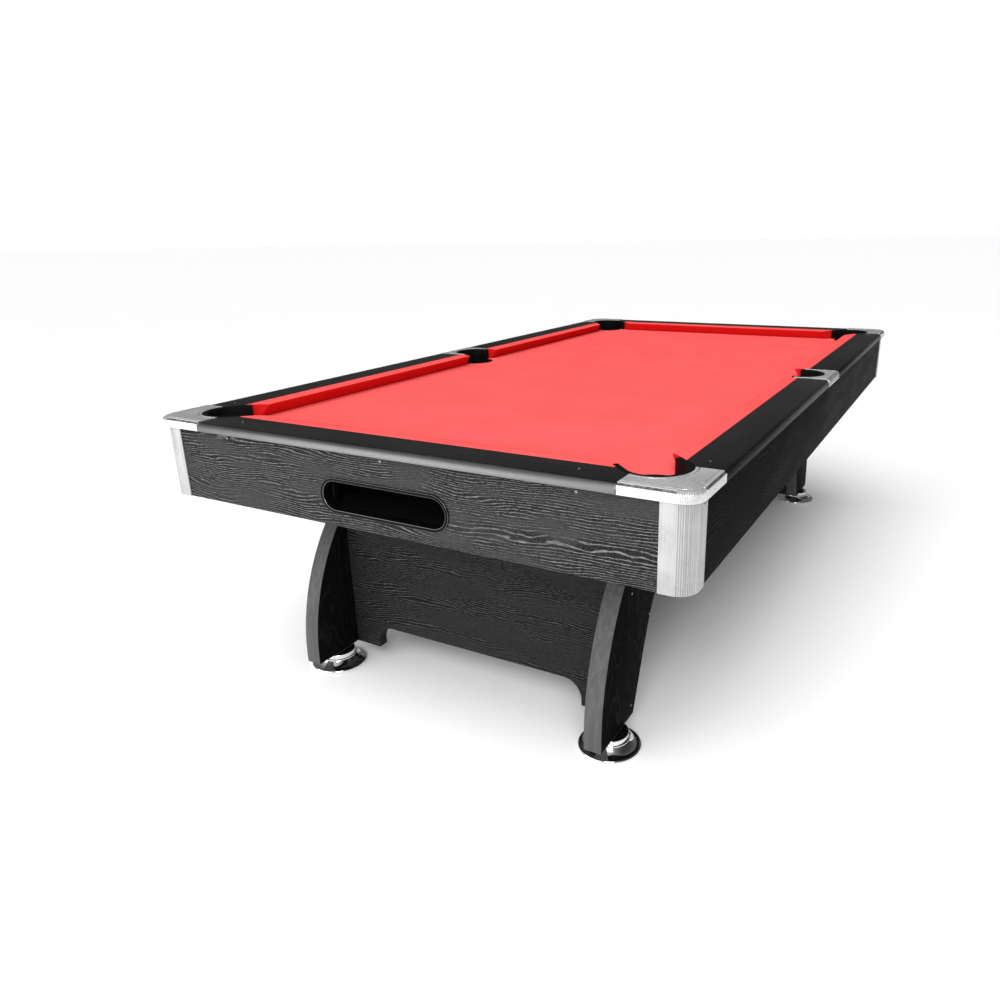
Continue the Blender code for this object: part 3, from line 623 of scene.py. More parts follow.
def pocket_space(sx, sy):
    return filled_u("jaw", (CORNER_POCKET, CORNER_POCKET), DIAGONAL, CAP_LENGTH, RAIL_FOOT - OVERSHOOT,
                    corner_place(sx, sy))


# The front and rear rails' lips take the painted-highlight copy, the side rails' lips the painted-shade
# copy.
for end, sy in ENDS:
    low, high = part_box(f"rail_{end}")
    across = rail(f"rail_{end}_finished", low.x, high.x,
                  lambda a, z, along, sy=sy: (along, sy * (HALF_LENGTH - a), z), LIT_LIP)
    for side, sx in SIDES:
        cut(across, pocket_space(sx, sy))
        low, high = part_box(f"rail_{side}_{end}")
        along_side = rail(f"rail_{side}_{end}_finished", low.y, high.y,
                          lambda a, z, along, sx=sx: (sx * (HALF_WIDTH - a), along, z), SHADED_SIDE_LIP)
        settle(cut(along_side, pocket_space(sx, sy)), "rail_laminate", f"rail_{side}_{end}")
    settle(across, "rail_laminate", f"rail_{end}")
print("rails made, section of", len(rail_section(0.0)), "points")

# %% [markdown]
# A cushion is a rubber strip with cloth pulled tight over it: nearly flat on top, a nose at the
# height that meets a ball, and a face that falls back to the bed. The cloth is too tight to simulate
# to any gain, so the section is drawn with a true nose radius, the cloth's slight unevenness comes
# from a slow noise, and the cut ends get the rounded edge that folded cloth has.

# %% Cushions
NOSE = 0.1476
NOSE_HIGH = 0.8065
NOSE_LOW = 0.8012
NOSE_RADIUS = 0.0027
FACE_BEND = (NOSE - 0.008, 0.7905)
FACE_FOOT = 0.128
CUSHION_FOOT = CLOTH_TOP + 0.0009
JAW = MOUTH * math.sqrt(2)
CUSHION_STATIONS = 60
FOLD = 0.0040
PULL = 0.00035
PULL_SCALE = 14.0
SIDE_CAP_HALF = 0.0875
JAW_CLEARANCE = 0.001
JAW_SLANT = 0.15


def cushion_section():
    """(inset, height) round a cushion, from the back of its top."""
    back = RAIL_WIDTH + GAP
    top = [(back, RAIL_TOP - 0.0012), (back + 0.0006, RAIL_TOP - 0.0003), (back + 0.0022, RAIL_TOP)]
    slope = [(back + 0.014, RAIL_TOP + 0.0003), (back + 0.030, RAIL_TOP - 0.0003)]
    nose = arc((NOSE - NOSE_RADIUS, NOSE_HIGH - NOSE_RADIUS), NOSE_RADIUS, 80, -20, 7)
    face = [(NOSE - 0.0012, NOSE_LOW - 0.0012), FACE_BEND, (FACE_FOOT, CUSHION_FOOT)]
    return top + slope + nose + face + [(back, CUSHION_FOOT)]


def uneven(point):
    """A slow, repeatable wander of the cloth over the rubber."""
    return PULL * noise.noise(Vector(point) * PULL_SCALE)


def cushion(name, start, end, place):
    """A cushion between two end planes, each given as a distance that depends on the section."""
    rings = []
    for i in range(CUSHION_STATIONS + 1):
        share = i / CUSHION_STATIONS
        ring = []
        for a, z in cushion_section():
            along = start(a) + share * (end(a) - start(a))
            lift = uneven((along, a, z)) if z > NOSE_LOW else 0.0
            ring.append(place(a + lift, min(z + lift, TOP), along))
        rings.append(ring)
    return soften(loft(name, rings, CUSHION_RED), FOLD, 4, 42)


def end_jaw(half):
    """The end plane at a corner pocket, cut at 45 degrees."""
    return lambda a: half - JAW - a


def middle_jaw(a):
    """The end plane at a middle pocket, nearly square."""
    return SIDE_CAP_HALF + JAW_CLEARANCE + JAW_SLANT * (a - RAIL_WIDTH)


for end, sy in ENDS:
    piece = cushion(f"cushion_{end}_finished", lambda a: -end_jaw(HALF_WIDTH)(a), end_jaw(HALF_WIDTH),
                    lambda a, z, along, sy=sy: (along, sy * (HALF_LENGTH - a), z))
    settle(piece, "cushion_cloth", f"cushion_{end}")
    for side, sx in SIDES:
        piece = cushion(f"cushion_{side}_{end}_finished", middle_jaw, end_jaw(HALF_LENGTH),
                        lambda a, z, along, sx=sx, sy=sy: (sx * (HALF_WIDTH - a), sy * along, z))
        settle(piece, "cushion_cloth", f"cushion_{side}_{end}")
print("cushions made, nose", round(NOSE_HIGH - CLOTH_TOP, 4), "above the cloth")

# %% [markdown]
# The bed cloth is one sheet, stretched over the board and tucked out of sight under the rails. It is
# cut round the six pocket drops. The sheet is filled from its outline and given the thickness of the
# cloth with Solidify.

# %% Bed cloth
CORNER_NOTCH = 0.0662
DROP_HOLE = 0.0692


def bed_cloth():
    """The sheet, the width and length that it was cut to, and its area."""
    low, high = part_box("bed_cloth")
    notch = HALF_WIDTH - CORNER_NOTCH
    notch_y = HALF_LENGTH - CORNER_NOTCH
    rim = [(notch, low.y), (notch, -notch_y), (high.x, -notch_y), (high.x, notch_y), (notch, notch_y),
           (notch, high.y)]
    rim += [(-x, y) for x, y in reversed(rim)]
    drops = [(sx * (HALF_WIDTH - CORNER_POCKET), sy * (HALF_LENGTH - CORNER_POCKET))
             for _, sx in SIDES for _, sy in ENDS]
    drops += [(sx * (HALF_WIDTH - SIDE_POCKET), 0.0) for _, sx in SIDES]
    shape = bmesh.new()
    for loop in [rim] + [arc(centre, DROP_HOLE, 0, 360, 64)[:-1] for centre in drops]:
        made = [shape.verts.new((x, y, high.z)) for x, y in loop]
        for one, two in zip(made, made[1:] + made[:1]):
            shape.edges.new((one, two))
    bmesh.ops.triangle_fill(shape, edges=shape.edges[:], use_beauty=True, normal=(0, 0, 1))
    area = sum(face.calc_area() for face in shape.faces)
    piece = keep("bed_cloth_finished", shape, BED_RED)
    wall = piece.modifiers.new("cloth", "SOLIDIFY")
    wall.thickness = high.z - low.z
    wall.offset = -1.0
    bake(piece)
    return piece, (high.x - low.x, high.y - low.y), area


cloth, cloth_size, cloth_area = bed_cloth()
settle(cloth, "bed_cloth", "bed_cloth")
print("bed cloth:", [round(v, 3) for v in cloth_size], "area", round(cloth_area, 3))

# %% [markdown]
# The corner caps are satin castings. Along each arm the section is a wall, a small cove and a flat top
# with a fine groove. Round the corner the cove gives way to a full round shoulder, which is fluted.
# The wall and shoulder are one skin of stations round the corner, each pushed in by a dent that is a
# flute in the corner and a seam beside it. The top is one flat face up to the pocket mouth.

# %% Corner caps
CAP_ROUND = 0.045
FLUTE_PITCH = 0.0032
FLUTE_DEPTH = 0.0010
FLUTE_STEPS = 6
SHOULDER = 0.012
GROOVE_DEPTH = 0.0011
COVE = 0.0042
COVE_EDGE = 0.0012
COVE_RIDGE = 0.0010
SEAM_AT = 0.0035
CAP_EDGE = 0.0009
GROOVE_SETBACK = 0.0022
ARM_STOPS = (0.120, 0.080)
END_EDGE = 0.0006


def flute(phase, depth, sharpness=3):
    """A narrow groove once a turn."""
    return depth * max(0.0, math.cos(2 * math.pi * phase)) ** sharpness


def cap_stations():
    """(point, inward direction, dent) round the cap's outer edge, from one arm to the other."""
    seam = CAP_ROUND + SEAM_AT
    arm = [CAP_LENGTH, CAP_LENGTH - END_EDGE, *ARM_STOPS, seam + 0.0012, seam + 0.0004, seam - 0.0004,
           seam - 0.0012, CAP_ROUND + 0.0002]
    dents = {CAP_LENGTH: END_EDGE, seam + 0.0004: 0.0012, seam - 0.0004: 0.0012}
    stations = [((0.0, b), (1, 0), dents.get(b, 0.0)) for b in arm]
    length = CAP_ROUND * math.pi / 2
    steps = round(length / FLUTE_PITCH) * FLUTE_STEPS
    for i in range(steps + 1):
        turn = math.radians(180 + 90 * i / steps)
        out = (math.cos(turn), math.sin(turn))
        point = (CAP_ROUND + CAP_ROUND * out[0], CAP_ROUND + CAP_ROUND * out[1])
        stations.append((point, (-out[0], -out[1]), flute(i / FLUTE_STEPS + 0.5, FLUTE_DEPTH)))
    stations += [((b, 0.0), (0, 1), 0.0)
                 for b in (CAP_ROUND + 0.0002, *ARM_STOPS[::-1], CAP_LENGTH - END_EDGE)]
    return stations + [((CAP_LENGTH, 0.0), (0, 1), END_EDGE)]


def round_shoulder(top):
    """A quarter round, where a dent runs over it from inwards to downwards."""
    turns = [(math.cos(t), math.sin(t)) for t in (math.radians(9 * i) for i in range(11))]
    return [(SHOULDER * (1 - inward), top - SHOULDER * (1 - down), inward, down) for inward, down in turns]


def coved_shoulder(top):
    """A rounded edge, a hollow quarter and a ridge: the same number of rows as the round shoulder."""
    ledge = top - COVE_RIDGE - COVE
    edge = arc((COVE_EDGE, ledge - COVE_EDGE), COVE_EDGE, 180, 90, 3)
    hollow = arc((COVE_EDGE, ledge + COVE), COVE, -90, 0, 5)[1:]
    ridge = [(COVE_EDGE + COVE + 0.0003, top - 0.0003), (COVE_EDGE + COVE + COVE_RIDGE, top)]
    return [(inset, z, 1, 0) for inset, z in edge + hollow + ridge]


def shoulder_rows(low, top, on_arm):
    """(inset, height, how far a dent goes inwards, and downwards) up the wall and over the shoulder."""
    rows = [(CAP_EDGE, low, 1, 0), (0.0, low + CAP_EDGE, 1, 0)]
    rows += coved_shoulder(top) if on_arm else round_shoulder(top)
    start = SHOULDER + GROOVE_SETBACK
    return rows + [(start, top, 0, 0), (start + 0.0004, top - GROOVE_DEPTH, 0, 0),
                   (start + 0.0016, top - GROOVE_DEPTH, 0, 0), (start + 0.0020, top, 0, 0)]


MOUTH_EDGE = 0.001
MOUTH_BAND = 0.0070
TICK_PITCH = 2.1
TICK_HALF_SPAN = 27
TICK_DEPTH = 0.0006


def mouth_rows(low, top):
    """(distance out from the pocket mouth, height, how far a tick cuts down)."""
    return [(0.0, low, 0), (0.0, top - MOUTH_EDGE, 0), (MOUTH_EDGE, top, 1), (MOUTH_BAND, top, 1),
            (0.0075, top - GROOVE_DEPTH, 0), (0.0093, top - GROOVE_DEPTH, 0), (0.0098, top, 0)]


def mouth_turns(radius):
    """Angles round the mouth, fine where the band is ticked, as (angle, tick depth)."""
    lip = math.degrees(math.acos((CAP_LENGTH - CORNER_POCKET) / radius))
    first, last = -lip, lip - 270
    fine_from, fine_to = -135 + TICK_HALF_SPAN, -135 - TICK_HALF_SPAN
    turns = [(first + (fine_from - first) * i / 20, 0.0) for i in range(20)]
    count = round(2 * TICK_HALF_SPAN / TICK_PITCH) * 6
    turns += [(fine_from + (fine_to - fine_from) * i / count, flute(i / 6 + 0.5, TICK_DEPTH, 2))
              for i in range(count)]
    return turns + [(fine_to + (last - fine_to) * i / 20, 0.0) for i in range(21)]


def strip(shape, rows, is_dark):
    """Skin neighbouring rows; is_dark(row, level) says which faces are the bottoms of grooves."""
    for k, (one, two) in enumerate(zip(rows, rows[1:])):
        for i in range(len(one) - 1):
            face = shape.faces.new((one[i], one[i + 1], two[i + 1], two[i]))
            face.material_index = int(is_dark(k, i))


def corner_cap(name, place):
    """A cap skinned from its outer wall and its mouth, closed above, below and at both arms' ends."""
    shape = bmesh.new()
    walls, arms, dents = [], [], []
    for (a, b), (na, nb), dent in cap_stations():
        row = []
        on_arm = max(a, b) > CAP_ROUND + 0.0001
        for inset, z, inward, down in shoulder_rows(CAP_UNDERSIDE, TOP, on_arm):
            depth = inset + dent * inward
            row.append(shape.verts.new(place(a + na * depth, b + nb * depth, z - dent * down)))
        walls.append(row)
        arms.append(on_arm)
        dents.append(dent)
    mouth = []
    rows = mouth_rows(CAP_UNDERSIDE, TOP)
    columns = [[(math.radians(turn), MOUTH + out, z - tick * share)
                for turn, tick in mouth_turns(MOUTH + out)] for out, z, share in rows]
    ticks = [tick for _, tick in mouth_turns(MOUTH)]
    for column in zip(*columns):
        mouth.append([shape.verts.new(place(CORNER_POCKET + radius * math.cos(turn),
                                            CORNER_POCKET + radius * math.sin(turn), z))
                      for turn, radius, z in column])
    flutes, cove, groove = range(5, 12), range(5, 10), len(walls[0]) - 3
    mouth_groove, band = 4, 2

    # The flute bottoms, the arms' cove, the top groove, the mouth groove and the ticks take the dark groove
    # finish, which is painted shade.
    def wall_dark(k, i):
        fluted = i in flutes and dents[k] + dents[k + 1] > FLUTE_DEPTH
        return i == groove or fluted or (i in cove and arms[k] and arms[k + 1])

    def mouth_dark(k, i):
        return i == mouth_groove or (i == band and ticks[k] + ticks[k + 1] > TICK_DEPTH)

    strip(shape, walls, wall_dark)
    strip(shape, mouth, mouth_dark)
    for level in (0, -1):
        shape.faces.new([row[level] for row in walls] + [row[level] for row in mouth])
    shape.faces.new(walls[0] + mouth[-1][::-1])
    shape.faces.new(walls[-1] + mouth[0][::-1])
    cap = keep(name, shape, SATIN)
    cap.data.materials.append(GROOVE_SHADE)
    return cap


for side, sx in SIDES:
    for end, sy in ENDS:
        piece = corner_cap(f"corner_cap_{end}_{side}_finished", corner_place(sx, sy))
        settle(piece, "satin_silver", f"corner_cap_{end}_{side}")
print("corner caps:", len(cap_stations()), "stations each")

# %% [markdown]
# A middle cap is a short piece of the same section, reeded along the rail, with a raised bead at each
# end that runs up the face, over the shoulder and on along the arm beside the pocket. One ring of
# the section is drawn at each station along the rail, raised where the bead is, and the pocket is cut
# out afterwards.

# %% Middle caps
SIDE_CAP_DEPTH = 0.112
BEAD_WIDTH = 0.0062
BEAD_RISE = 0.0012
REED_CUT = 0.0006
ARM_CUT = 0.0005
ARM_PITCH = 0.0030
# The columns at the bottoms of the reeds take the dark groove finish, which is painted shade.
DARK_REEDS = [k for k in range(1, 24) if k % 4 in (3, 0)]


def side_cap_rows(low, top):
    """(inset, height, outward parts) from under the lip to the top's inner edge, with reeds."""
    rows = [(0.0, low, 1, 0)]
    face = top - SHOULDER - low
    for i in range(1, 9):
        rows.append((flute(i / 4, REED_CUT, 2), low + face * i / 8, 1, 0))
    for i in range(1, 17):
        turn = math.radians(90 * i / 16)
        out, up = math.cos(turn), math.sin(turn)
        radius = SHOULDER - flute(i / 4, REED_CUT, 2)
        rows.append((SHOULDER - radius * out, top - SHOULDER + radius * up, out, up))
    for i in range(1, 5):
        rows.append((SHOULDER + ARM_PITCH * i, top - flute(i / 2, ARM_CUT, 1), 0, 1))
    return rows + [(SIDE_CAP_DEPTH, top, 0, 1)]


def bead_rise(along):
    """How far the surface is raised near the ends of the cap."""
    share = (abs(along) - (SIDE_CAP_HALF - BEAD_WIDTH)) / BEAD_WIDTH
    return BEAD_RISE * math.sqrt(max(0.0, 1 - (2 * share - 1) ** 2)) if share > 0 else 0.0


def side_cap(name, place):
    bead = [SIDE_CAP_HALF - BEAD_WIDTH * (0.5 - 0.5 * math.cos(math.pi * i / 10)) for i in range(11)]
    stations = bead + [0.0] + [-v for v in reversed(bead)]
    rings = []
    for along in stations:
        rise = bead_rise(along)
        ring = [place(a - rise * out, along, z + rise * up)
                for a, z, out, up in side_cap_rows(CAP_UNDERSIDE, TOP - BEAD_RISE)]
        rings.append(ring + [place(SIDE_CAP_DEPTH, along, CAP_UNDERSIDE)])
    piece = loft(name, rings, SATIN, second_columns=DARK_REEDS)
    piece.data.materials.append(GROOVE_SHADE)
    return cut(piece, filled_u("mouth", (SIDE_POCKET, 0.0), ACROSS, 0.02, CAP_UNDERSIDE - OVERSHOOT, place))


for side, sx in SIDES:
    settle(side_cap(f"side_cap_{side}_finished", side_place(sx)), "satin_silver", f"side_cap_{side}")
print("middle caps made, bead", BEAD_WIDTH, "wide")

# %% [markdown]
# A pocket liner is one moulding: a U-shaped wall with a rounded rim that stands a little above the
# rails, ears that cover the cushion ends, and a round drop through the bed. The wall is a section
# carried round the U, the drop is turned, and a Boolean joins them.

# %% Pocket liners
DROP_OUTSIDE = 0.068
DROP_EDGE = 0.001
DROP_LEAD = 0.002
RIM_BEAD = 0.0032
RIM_LEAD = 0.0050
LINER_SECTION_STEPS = 5


def wall_section():
    """(distance from the pocket's centre, height) round the liner's wall."""
    low, top = CLOTH_TOP + GAP, LINER_TOP
    bead_end = LINER_OUTSIDE - RIM_BEAD
    rim = arc((bead_end, top - RIM_BEAD), RIM_BEAD, 0, 90, LINER_SECTION_STEPS)
    crease = [(bead_end - 0.0016, top), (bead_end - 0.0021, top - 0.0005),
              (bead_end - 0.0027, top - 0.0005), (bead_end - 0.0032, top)]
    slope = arc((LINER_INSIDE + RIM_LEAD, top - RIM_LEAD), RIM_LEAD, 90, 180, LINER_SECTION_STEPS)
    return [(LINER_OUTSIDE, low)] + rim + crease + slope + [(LINER_INSIDE, low)]


def drop_section():
    """(distance from the drop's axis, height) round the wall of the drop."""
    low, top = LINER_LOW.z, CLOTH_TOP + 2 * GAP
    return [(DROP_OUTSIDE, low), (DROP_OUTSIDE, top - DROP_EDGE), (DROP_OUTSIDE - DROP_EDGE, top),
            (LINER_INSIDE + DROP_EDGE, top), (LINER_INSIDE, top - DROP_EDGE),
            (LINER_INSIDE, low + DROP_LEAD), (LINER_INSIDE + DROP_LEAD, low)]


def pocket_liner(name, centre, direction, reach, place):
    """A liner round a pocket's centre, with ears that reach along its direction."""
    rings = []
    for middle, out in u_path(centre, direction, reach, 48):
        rings.append([place(middle[0] + out[0] * r, middle[1] + out[1] * r, z) for r, z in wall_section()])
    liner = soften(loft(name, rings, LINER_BLACK), 0.0022, 3, 50)
    turned = [[place(centre[0] + r * math.cos(t), centre[1] + r * math.sin(t), z)
               for r, z in drop_section()] for t in (math.radians(5 * i) for i in range(72))]
    return cut(liner, loft("drop", turned, LINER_BLACK, round_path=True), "UNION")


for side, sx in SIDES:
    for end, sy in ENDS:
        piece = pocket_liner(f"pocket_liner_{end}_{side}_finished", (CORNER_POCKET, CORNER_POCKET),
                             DIAGONAL, CORNER_EAR, corner_place(sx, sy))
        settle(piece, "black_moulding", f"pocket_liner_{end}_{side}")
    piece = pocket_liner(f"pocket_liner_middle_{side}_finished", (SIDE_POCKET, 0.0), ACROSS, SIDE_EAR,
                         side_place(sx))
    settle(piece, "black_moulding", f"pocket_liner_middle_{side}")
print("six liners made, section of", len(wall_section()), "points")

# %% [markdown]
# The corner posts are extrusions: two thin wings, a thick core, and a rounded corner with reeds. A
# reed repeats along the outline, so Geometry Nodes make it. The tree takes the plain outline as a
# wire with two attributes, how far along each point is and which way is out, pushes the points in
# where a reed falls, fills the outline and extrudes it.

# %% Geometry Nodes helpers
def new_group(name, inputs):
    """A geometry tree with named inputs, its input node and its output node."""
    tree = bpy.data.node_groups.new(name, "GeometryNodeTree")
    tree.interface.new_socket(name="Geometry", in_out="INPUT", socket_type="NodeSocketGeometry")
    for label, kind in inputs:
        tree.interface.new_socket(name=label, in_out="INPUT", socket_type="NodeSocket" + kind)
    tree.interface.new_socket(name="Geometry", in_out="OUTPUT", socket_type="NodeSocketGeometry")
    return tree, tree.nodes.new("NodeGroupInput"), tree.nodes.new("NodeGroupOutput")


def painted_result(tree, shape, finish, result):
    """End a tree: make its instances real and give the whole its finish."""
    real = new_node(tree, "GeometryNodeRealizeInstances", {"Geometry": shape})
    painted = new_node(tree, "GeometryNodeSetMaterial", {"Geometry": real.outputs[0],
                                                         "Material": finish})
    tree.links.new(painted.outputs[0], result.inputs[0])
    return tree


def grown(tree, name, mesh, values):
    """Run a tree over a mesh and return a plain object with the result."""
    piece = bpy.data.objects.new(name, mesh)
    bpy.context.scene.collection.objects.link(piece)
    step = piece.modifiers.new(tree.name, "NODES")
    step.node_group = tree
    sockets = {item.name: item.identifier for item in tree.interface.items_tree
               if item.in_out == "INPUT"}
    for label, value in values.items():
        step[sockets[label]] = value
    return bake(piece)


# %% The reeded extrusion tree
REED_SHARPNESS = 1.6
WELD = 0.00002


def reeded_extrusion():
    """Outline in, extrusion out, with reeds pushed in where the wave along it is positive."""
    tree, given, result = new_group("reeded_extrusion", [
        ("Height", "Float"), ("Base", "Float"), ("Pitch", "Float"), ("Depth", "Float"),
        ("Finish", "Material")])
    wire = new_node(tree, "GeometryNodeMeshToCurve", {"Mesh": given.outputs["Geometry"]})
    along = new_node(tree, "GeometryNodeInputNamedAttribute", {"Name": "along"}, data_type="FLOAT")
    out = new_node(tree, "GeometryNodeInputNamedAttribute", {"Name": "out"}, data_type="FLOAT_VECTOR")
    turn = calc(tree, "DIVIDE", along.outputs["Attribute"], given.outputs["Pitch"])
    wave = calc(tree, "COSINE", calc(tree, "MULTIPLY", turn, 2 * math.pi))
    notch = calc(tree, "POWER", calc(tree, "MAXIMUM", wave, 0.0), REED_SHARPNESS)
    depth = calc(tree, "MULTIPLY", notch, given.outputs["Depth"])
    push = add(tree, "VectorMath", {0: out.outputs["Attribute"]}, operation="SCALE")
    tree.links.new(calc(tree, "MULTIPLY", depth, -1.0), push.inputs["Scale"])
    shaped = new_node(tree, "GeometryNodeSetPosition", {"Geometry": wire.outputs[0],
                                                        "Offset": push.outputs[0]})
    filled = new_node(tree, "GeometryNodeFillCurve", {"Curve": shaped.outputs[0]}, mode="NGONS")
    up = add(tree, "CombineXYZ", {"Z": given.outputs["Height"]})
    raised = new_node(tree, "GeometryNodeExtrudeMesh", {"Mesh": filled.outputs[0],
                                                        "Offset": up.outputs[0],
                                                        "Offset Scale": 1.0, "Individual": False})
    floor = new_node(tree, "GeometryNodeFlipFaces", {"Mesh": filled.outputs[0]})
    both = new_node(tree, "GeometryNodeJoinGeometry")
    tree.links.new(raised.outputs["Mesh"], both.inputs[0])
    tree.links.new(floor.outputs[0], both.inputs[0])
    base = add(tree, "CombineXYZ", {"Z": given.outputs["Base"]})
    placed = new_node(tree, "GeometryNodeTransform", {"Geometry": both.outputs[0],
                                                      "Translation": base.outputs[0]})
    welded = new_node(tree, "GeometryNodeMergeByDistance", {"Geometry": placed.outputs[0],
                                                            "Distance": WELD})
    return painted_result(tree, welded.outputs[0], given.outputs["Finish"], result)


REEDED = reeded_extrusion()
print("tree:", REEDED.name, "with", len(REEDED.nodes), "nodes")

# %% Corner posts
POST_INSET = 0.0102
POST_WING = 0.0715
POST_SKIN = 0.003
POST_CORE = 0.022
POST_CORE_WIDTH = 0.0517
REED_PITCH = 0.0047
REED_DEPTH = 0.0013
REED_FROM, REED_TO = 12, 78
ROUND_STEPS = 150
WING_EDGE = 0.0006


def post_wire(name, place, flip):
    """The post's outline as a wire; points on the reeded part know how far along they are."""
    centre = (POST_INSET + CAP_ROUND, POST_INSET + CAP_ROUND)
    end = POST_INSET + POST_WING
    skin, core = POST_INSET + POST_SKIN, POST_INSET + POST_CORE
    core_end = POST_INSET + POST_CORE_WIDTH
    points = []
    for i in range(ROUND_STEPS + 1):
        turn = 90 * i / ROUND_STEPS
        out = (math.cos(math.radians(180 + turn)), math.sin(math.radians(180 + turn)))
        reeded = REED_FROM <= turn <= REED_TO
        along = CAP_ROUND * math.radians(turn - 45) if reeded else REED_PITCH / 2
        points.append((centre[0] + CAP_ROUND * out[0], centre[1] + CAP_ROUND * out[1], out, along))
    still = ((0.0, 0.0), REED_PITCH / 2)
    edge = WING_EDGE
    for a, b in ((end - edge, POST_INSET), (end, POST_INSET + edge), (end, skin), (core_end, skin),
                 (core_end, core), (core, core), (core, core_end), (skin, core_end), (skin, end),
                 (POST_INSET + edge, end), (POST_INSET, end - edge)):
        points.append((a, b, *still))
    if flip:
        points.reverse()
    mesh = bpy.data.meshes.new(name)
    placed = [place(a, b, 0.0) for a, b, _, _ in points]
    count = len(placed)
    mesh.from_pydata(placed, [(i, (i + 1) % count) for i in range(count)], [])
    zero = Vector(place(0, 0, 0))
    outs = [Vector(place(*out, 0.0)) - zero for _, _, out, _ in points]
    mesh.attributes.new("along", "FLOAT", "POINT").data.foreach_set("value", [p[3] for p in points])
    mesh.attributes.new("out", "FLOAT_VECTOR", "POINT").data.foreach_set(
        "vector", [value for out in outs for value in out])
    return mesh


POST_LOW, POST_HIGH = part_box("corner_post_front_right")
for side, sx in SIDES:
    for end, sy in ENDS:
        name = f"corner_post_{end}_{side}"
        piece = grown(REEDED, name + "_finished", post_wire(name, corner_place(sx, sy), sx * sy > 0), {
            "Height": POST_HIGH.z - POST_LOW.z, "Base": POST_LOW.z, "Pitch": REED_PITCH,
            "Depth": REED_DEPTH, "Finish": POST_SATIN})
        piece.data.materials.append(GROOVE_SHADE)
        # Faces deep in a reed take the dark groove finish, which is painted shade.
        middle = Vector(corner_place(sx, sy)(POST_INSET + CAP_ROUND, POST_INSET + CAP_ROUND, 0)).xy
        for face in piece.data.polygons:
            sunk = CAP_ROUND - (face.center.xy - middle).length
            if abs(face.normal.z) < 0.5 and 0.6 * REED_DEPTH < sunk < REED_DEPTH:
                face.material_index = 1
        settle(piece, "satin_silver", name)
print("posts:", len(piece.data.polygons), "faces each")

# %% [markdown]
# The cabinet panels are laminated boards. The front one has the slot of the ball return. A real
# board's edges are never quite sharp, and the thin line of light along the bottom edge is what shows
# it, so the boards are redrawn with a small bevel.

# %% Cabinet panels
SLOT_HEIGHT = 0.672
SLOT_HALF = 0.144
SLOT_CUT = 0.0390
BOARD_EDGE = 0.0011


def slot_loop(radius, steps=32):
    """The slot's outline, drawn at a distance from its middle line."""
    right = arc((SLOT_HALF, SLOT_HEIGHT), radius, -90, 90, steps)
    return right + arc((-SLOT_HALF, SLOT_HEIGHT), radius, 90, 270, steps)


for end, _ in ENDS:
    low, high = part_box(f"end_panel_{end}")
    piece = soften(block(f"end_panel_{end}_finished", low, high, OAK_FRONT), BOARD_EDGE)
    if end == "front":
        rings = [[(x, y, z) for x, z in slot_loop(SLOT_CUT)]
                 for y in (low.y - OVERSHOOT, high.y + OVERSHOOT)]
        cut(piece, loft("slot", rings, OAK_FRONT))
    settle(piece, "grain_laminate", f"end_panel_{end}")
for side, _ in SIDES:
    low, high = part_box(f"side_panel_{side}")
    piece = soften(block(f"side_panel_{side}_finished", low, high, OAK_SIDE), BOARD_EDGE)
    settle(piece, "side_laminate", f"side_panel_{side}")
print("cabinet panels made")

# %% [markdown]
# The slot's bezel is a glossy moulding with a flat rim and a sleeve that lines the hole in the board.
# Both are one closed section carried round the slot. The rim's rounded edges take a copy of the
# moulding with a higher index of refraction, a painted highlight that draws thin lines of light. The
# tray behind it is a shallow box with rounded corners.

# %% Ball-slot bezel
BEZEL_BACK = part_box("ball_slot_bezel")[1].y
BEZEL_FLANGE = 0.045
BEZEL_RISE = 0.0042
BEZEL_EDGE = 0.0014
BEZEL_LIP = 0.0022
SLOT_INSIDE = 0.0355
SLEEVE = 0.0385
PANEL_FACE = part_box("end_panel_front")[0].y
ROUNDED_COLUMNS = (*range(1, 7), *range(8, 16))


def bezel_section():
    """(distance from the slot's middle line, distance from the front of the table)."""
    face = PANEL_FACE - GAP
    outer = [(BEZEL_FLANGE - BEZEL_EDGE + r, face - BEZEL_RISE + BEZEL_EDGE - y)
             for r, y in arc((0, 0), BEZEL_EDGE, 0, 90, 6)]
    inner = [(SLOT_INSIDE + BEZEL_LIP + r, face - BEZEL_RISE + BEZEL_LIP - y)
             for r, y in arc((0, 0), BEZEL_LIP, 90, 180, 8)]
    return [(BEZEL_FLANGE, face)] + outer + inner + [
        (SLOT_INSIDE, BEZEL_BACK), (SLEEVE, BEZEL_BACK), (SLEEVE, face)]


# The rounded columns take the high-index edge copy: painted highlight.
columns = [[(x, y, z) for x, z in slot_loop(radius, 36)] for radius, y in bezel_section()]
bezel = loft("ball_slot_bezel_finished", list(zip(*columns)), GLOSS_BLACK, round_path=True,
             second_columns=ROUNDED_COLUMNS)
bezel.data.materials.append(EDGE_HIGHLIGHT)
settle(bezel, "black_moulding", "ball_slot_bezel")
print("bezel:", [round(v, 4) for v in bezel.dimensions])

# %% Ball tray
TRAY_LOW, TRAY_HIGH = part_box("ball_tray")
TRAY_WALL = 0.003
TRAY_CORNER = 0.008
HOLLOW_CORNER = 0.006
HOLLOW_FILLET = 0.004
RUN_Y = -1.245
RUN_HALF = 0.046
RUN_FLOOR = 0.629


def rounded_box(name, low, high, radius, paint):
    """A box with rounded upright edges."""
    corners = ((high[0] - radius, high[1] - radius, 0), (low[0] + radius, high[1] - radius, 90),
               (low[0] + radius, low[1] + radius, 180), (high[0] - radius, low[1] + radius, 270))
    outline = [p for x, y, turn in corners for p in arc((x, y), radius, turn, turn + 90, 6)]
    return loft(name, [[(x, y, z) for x, y in outline] for z in (low[2], high[2])], paint)


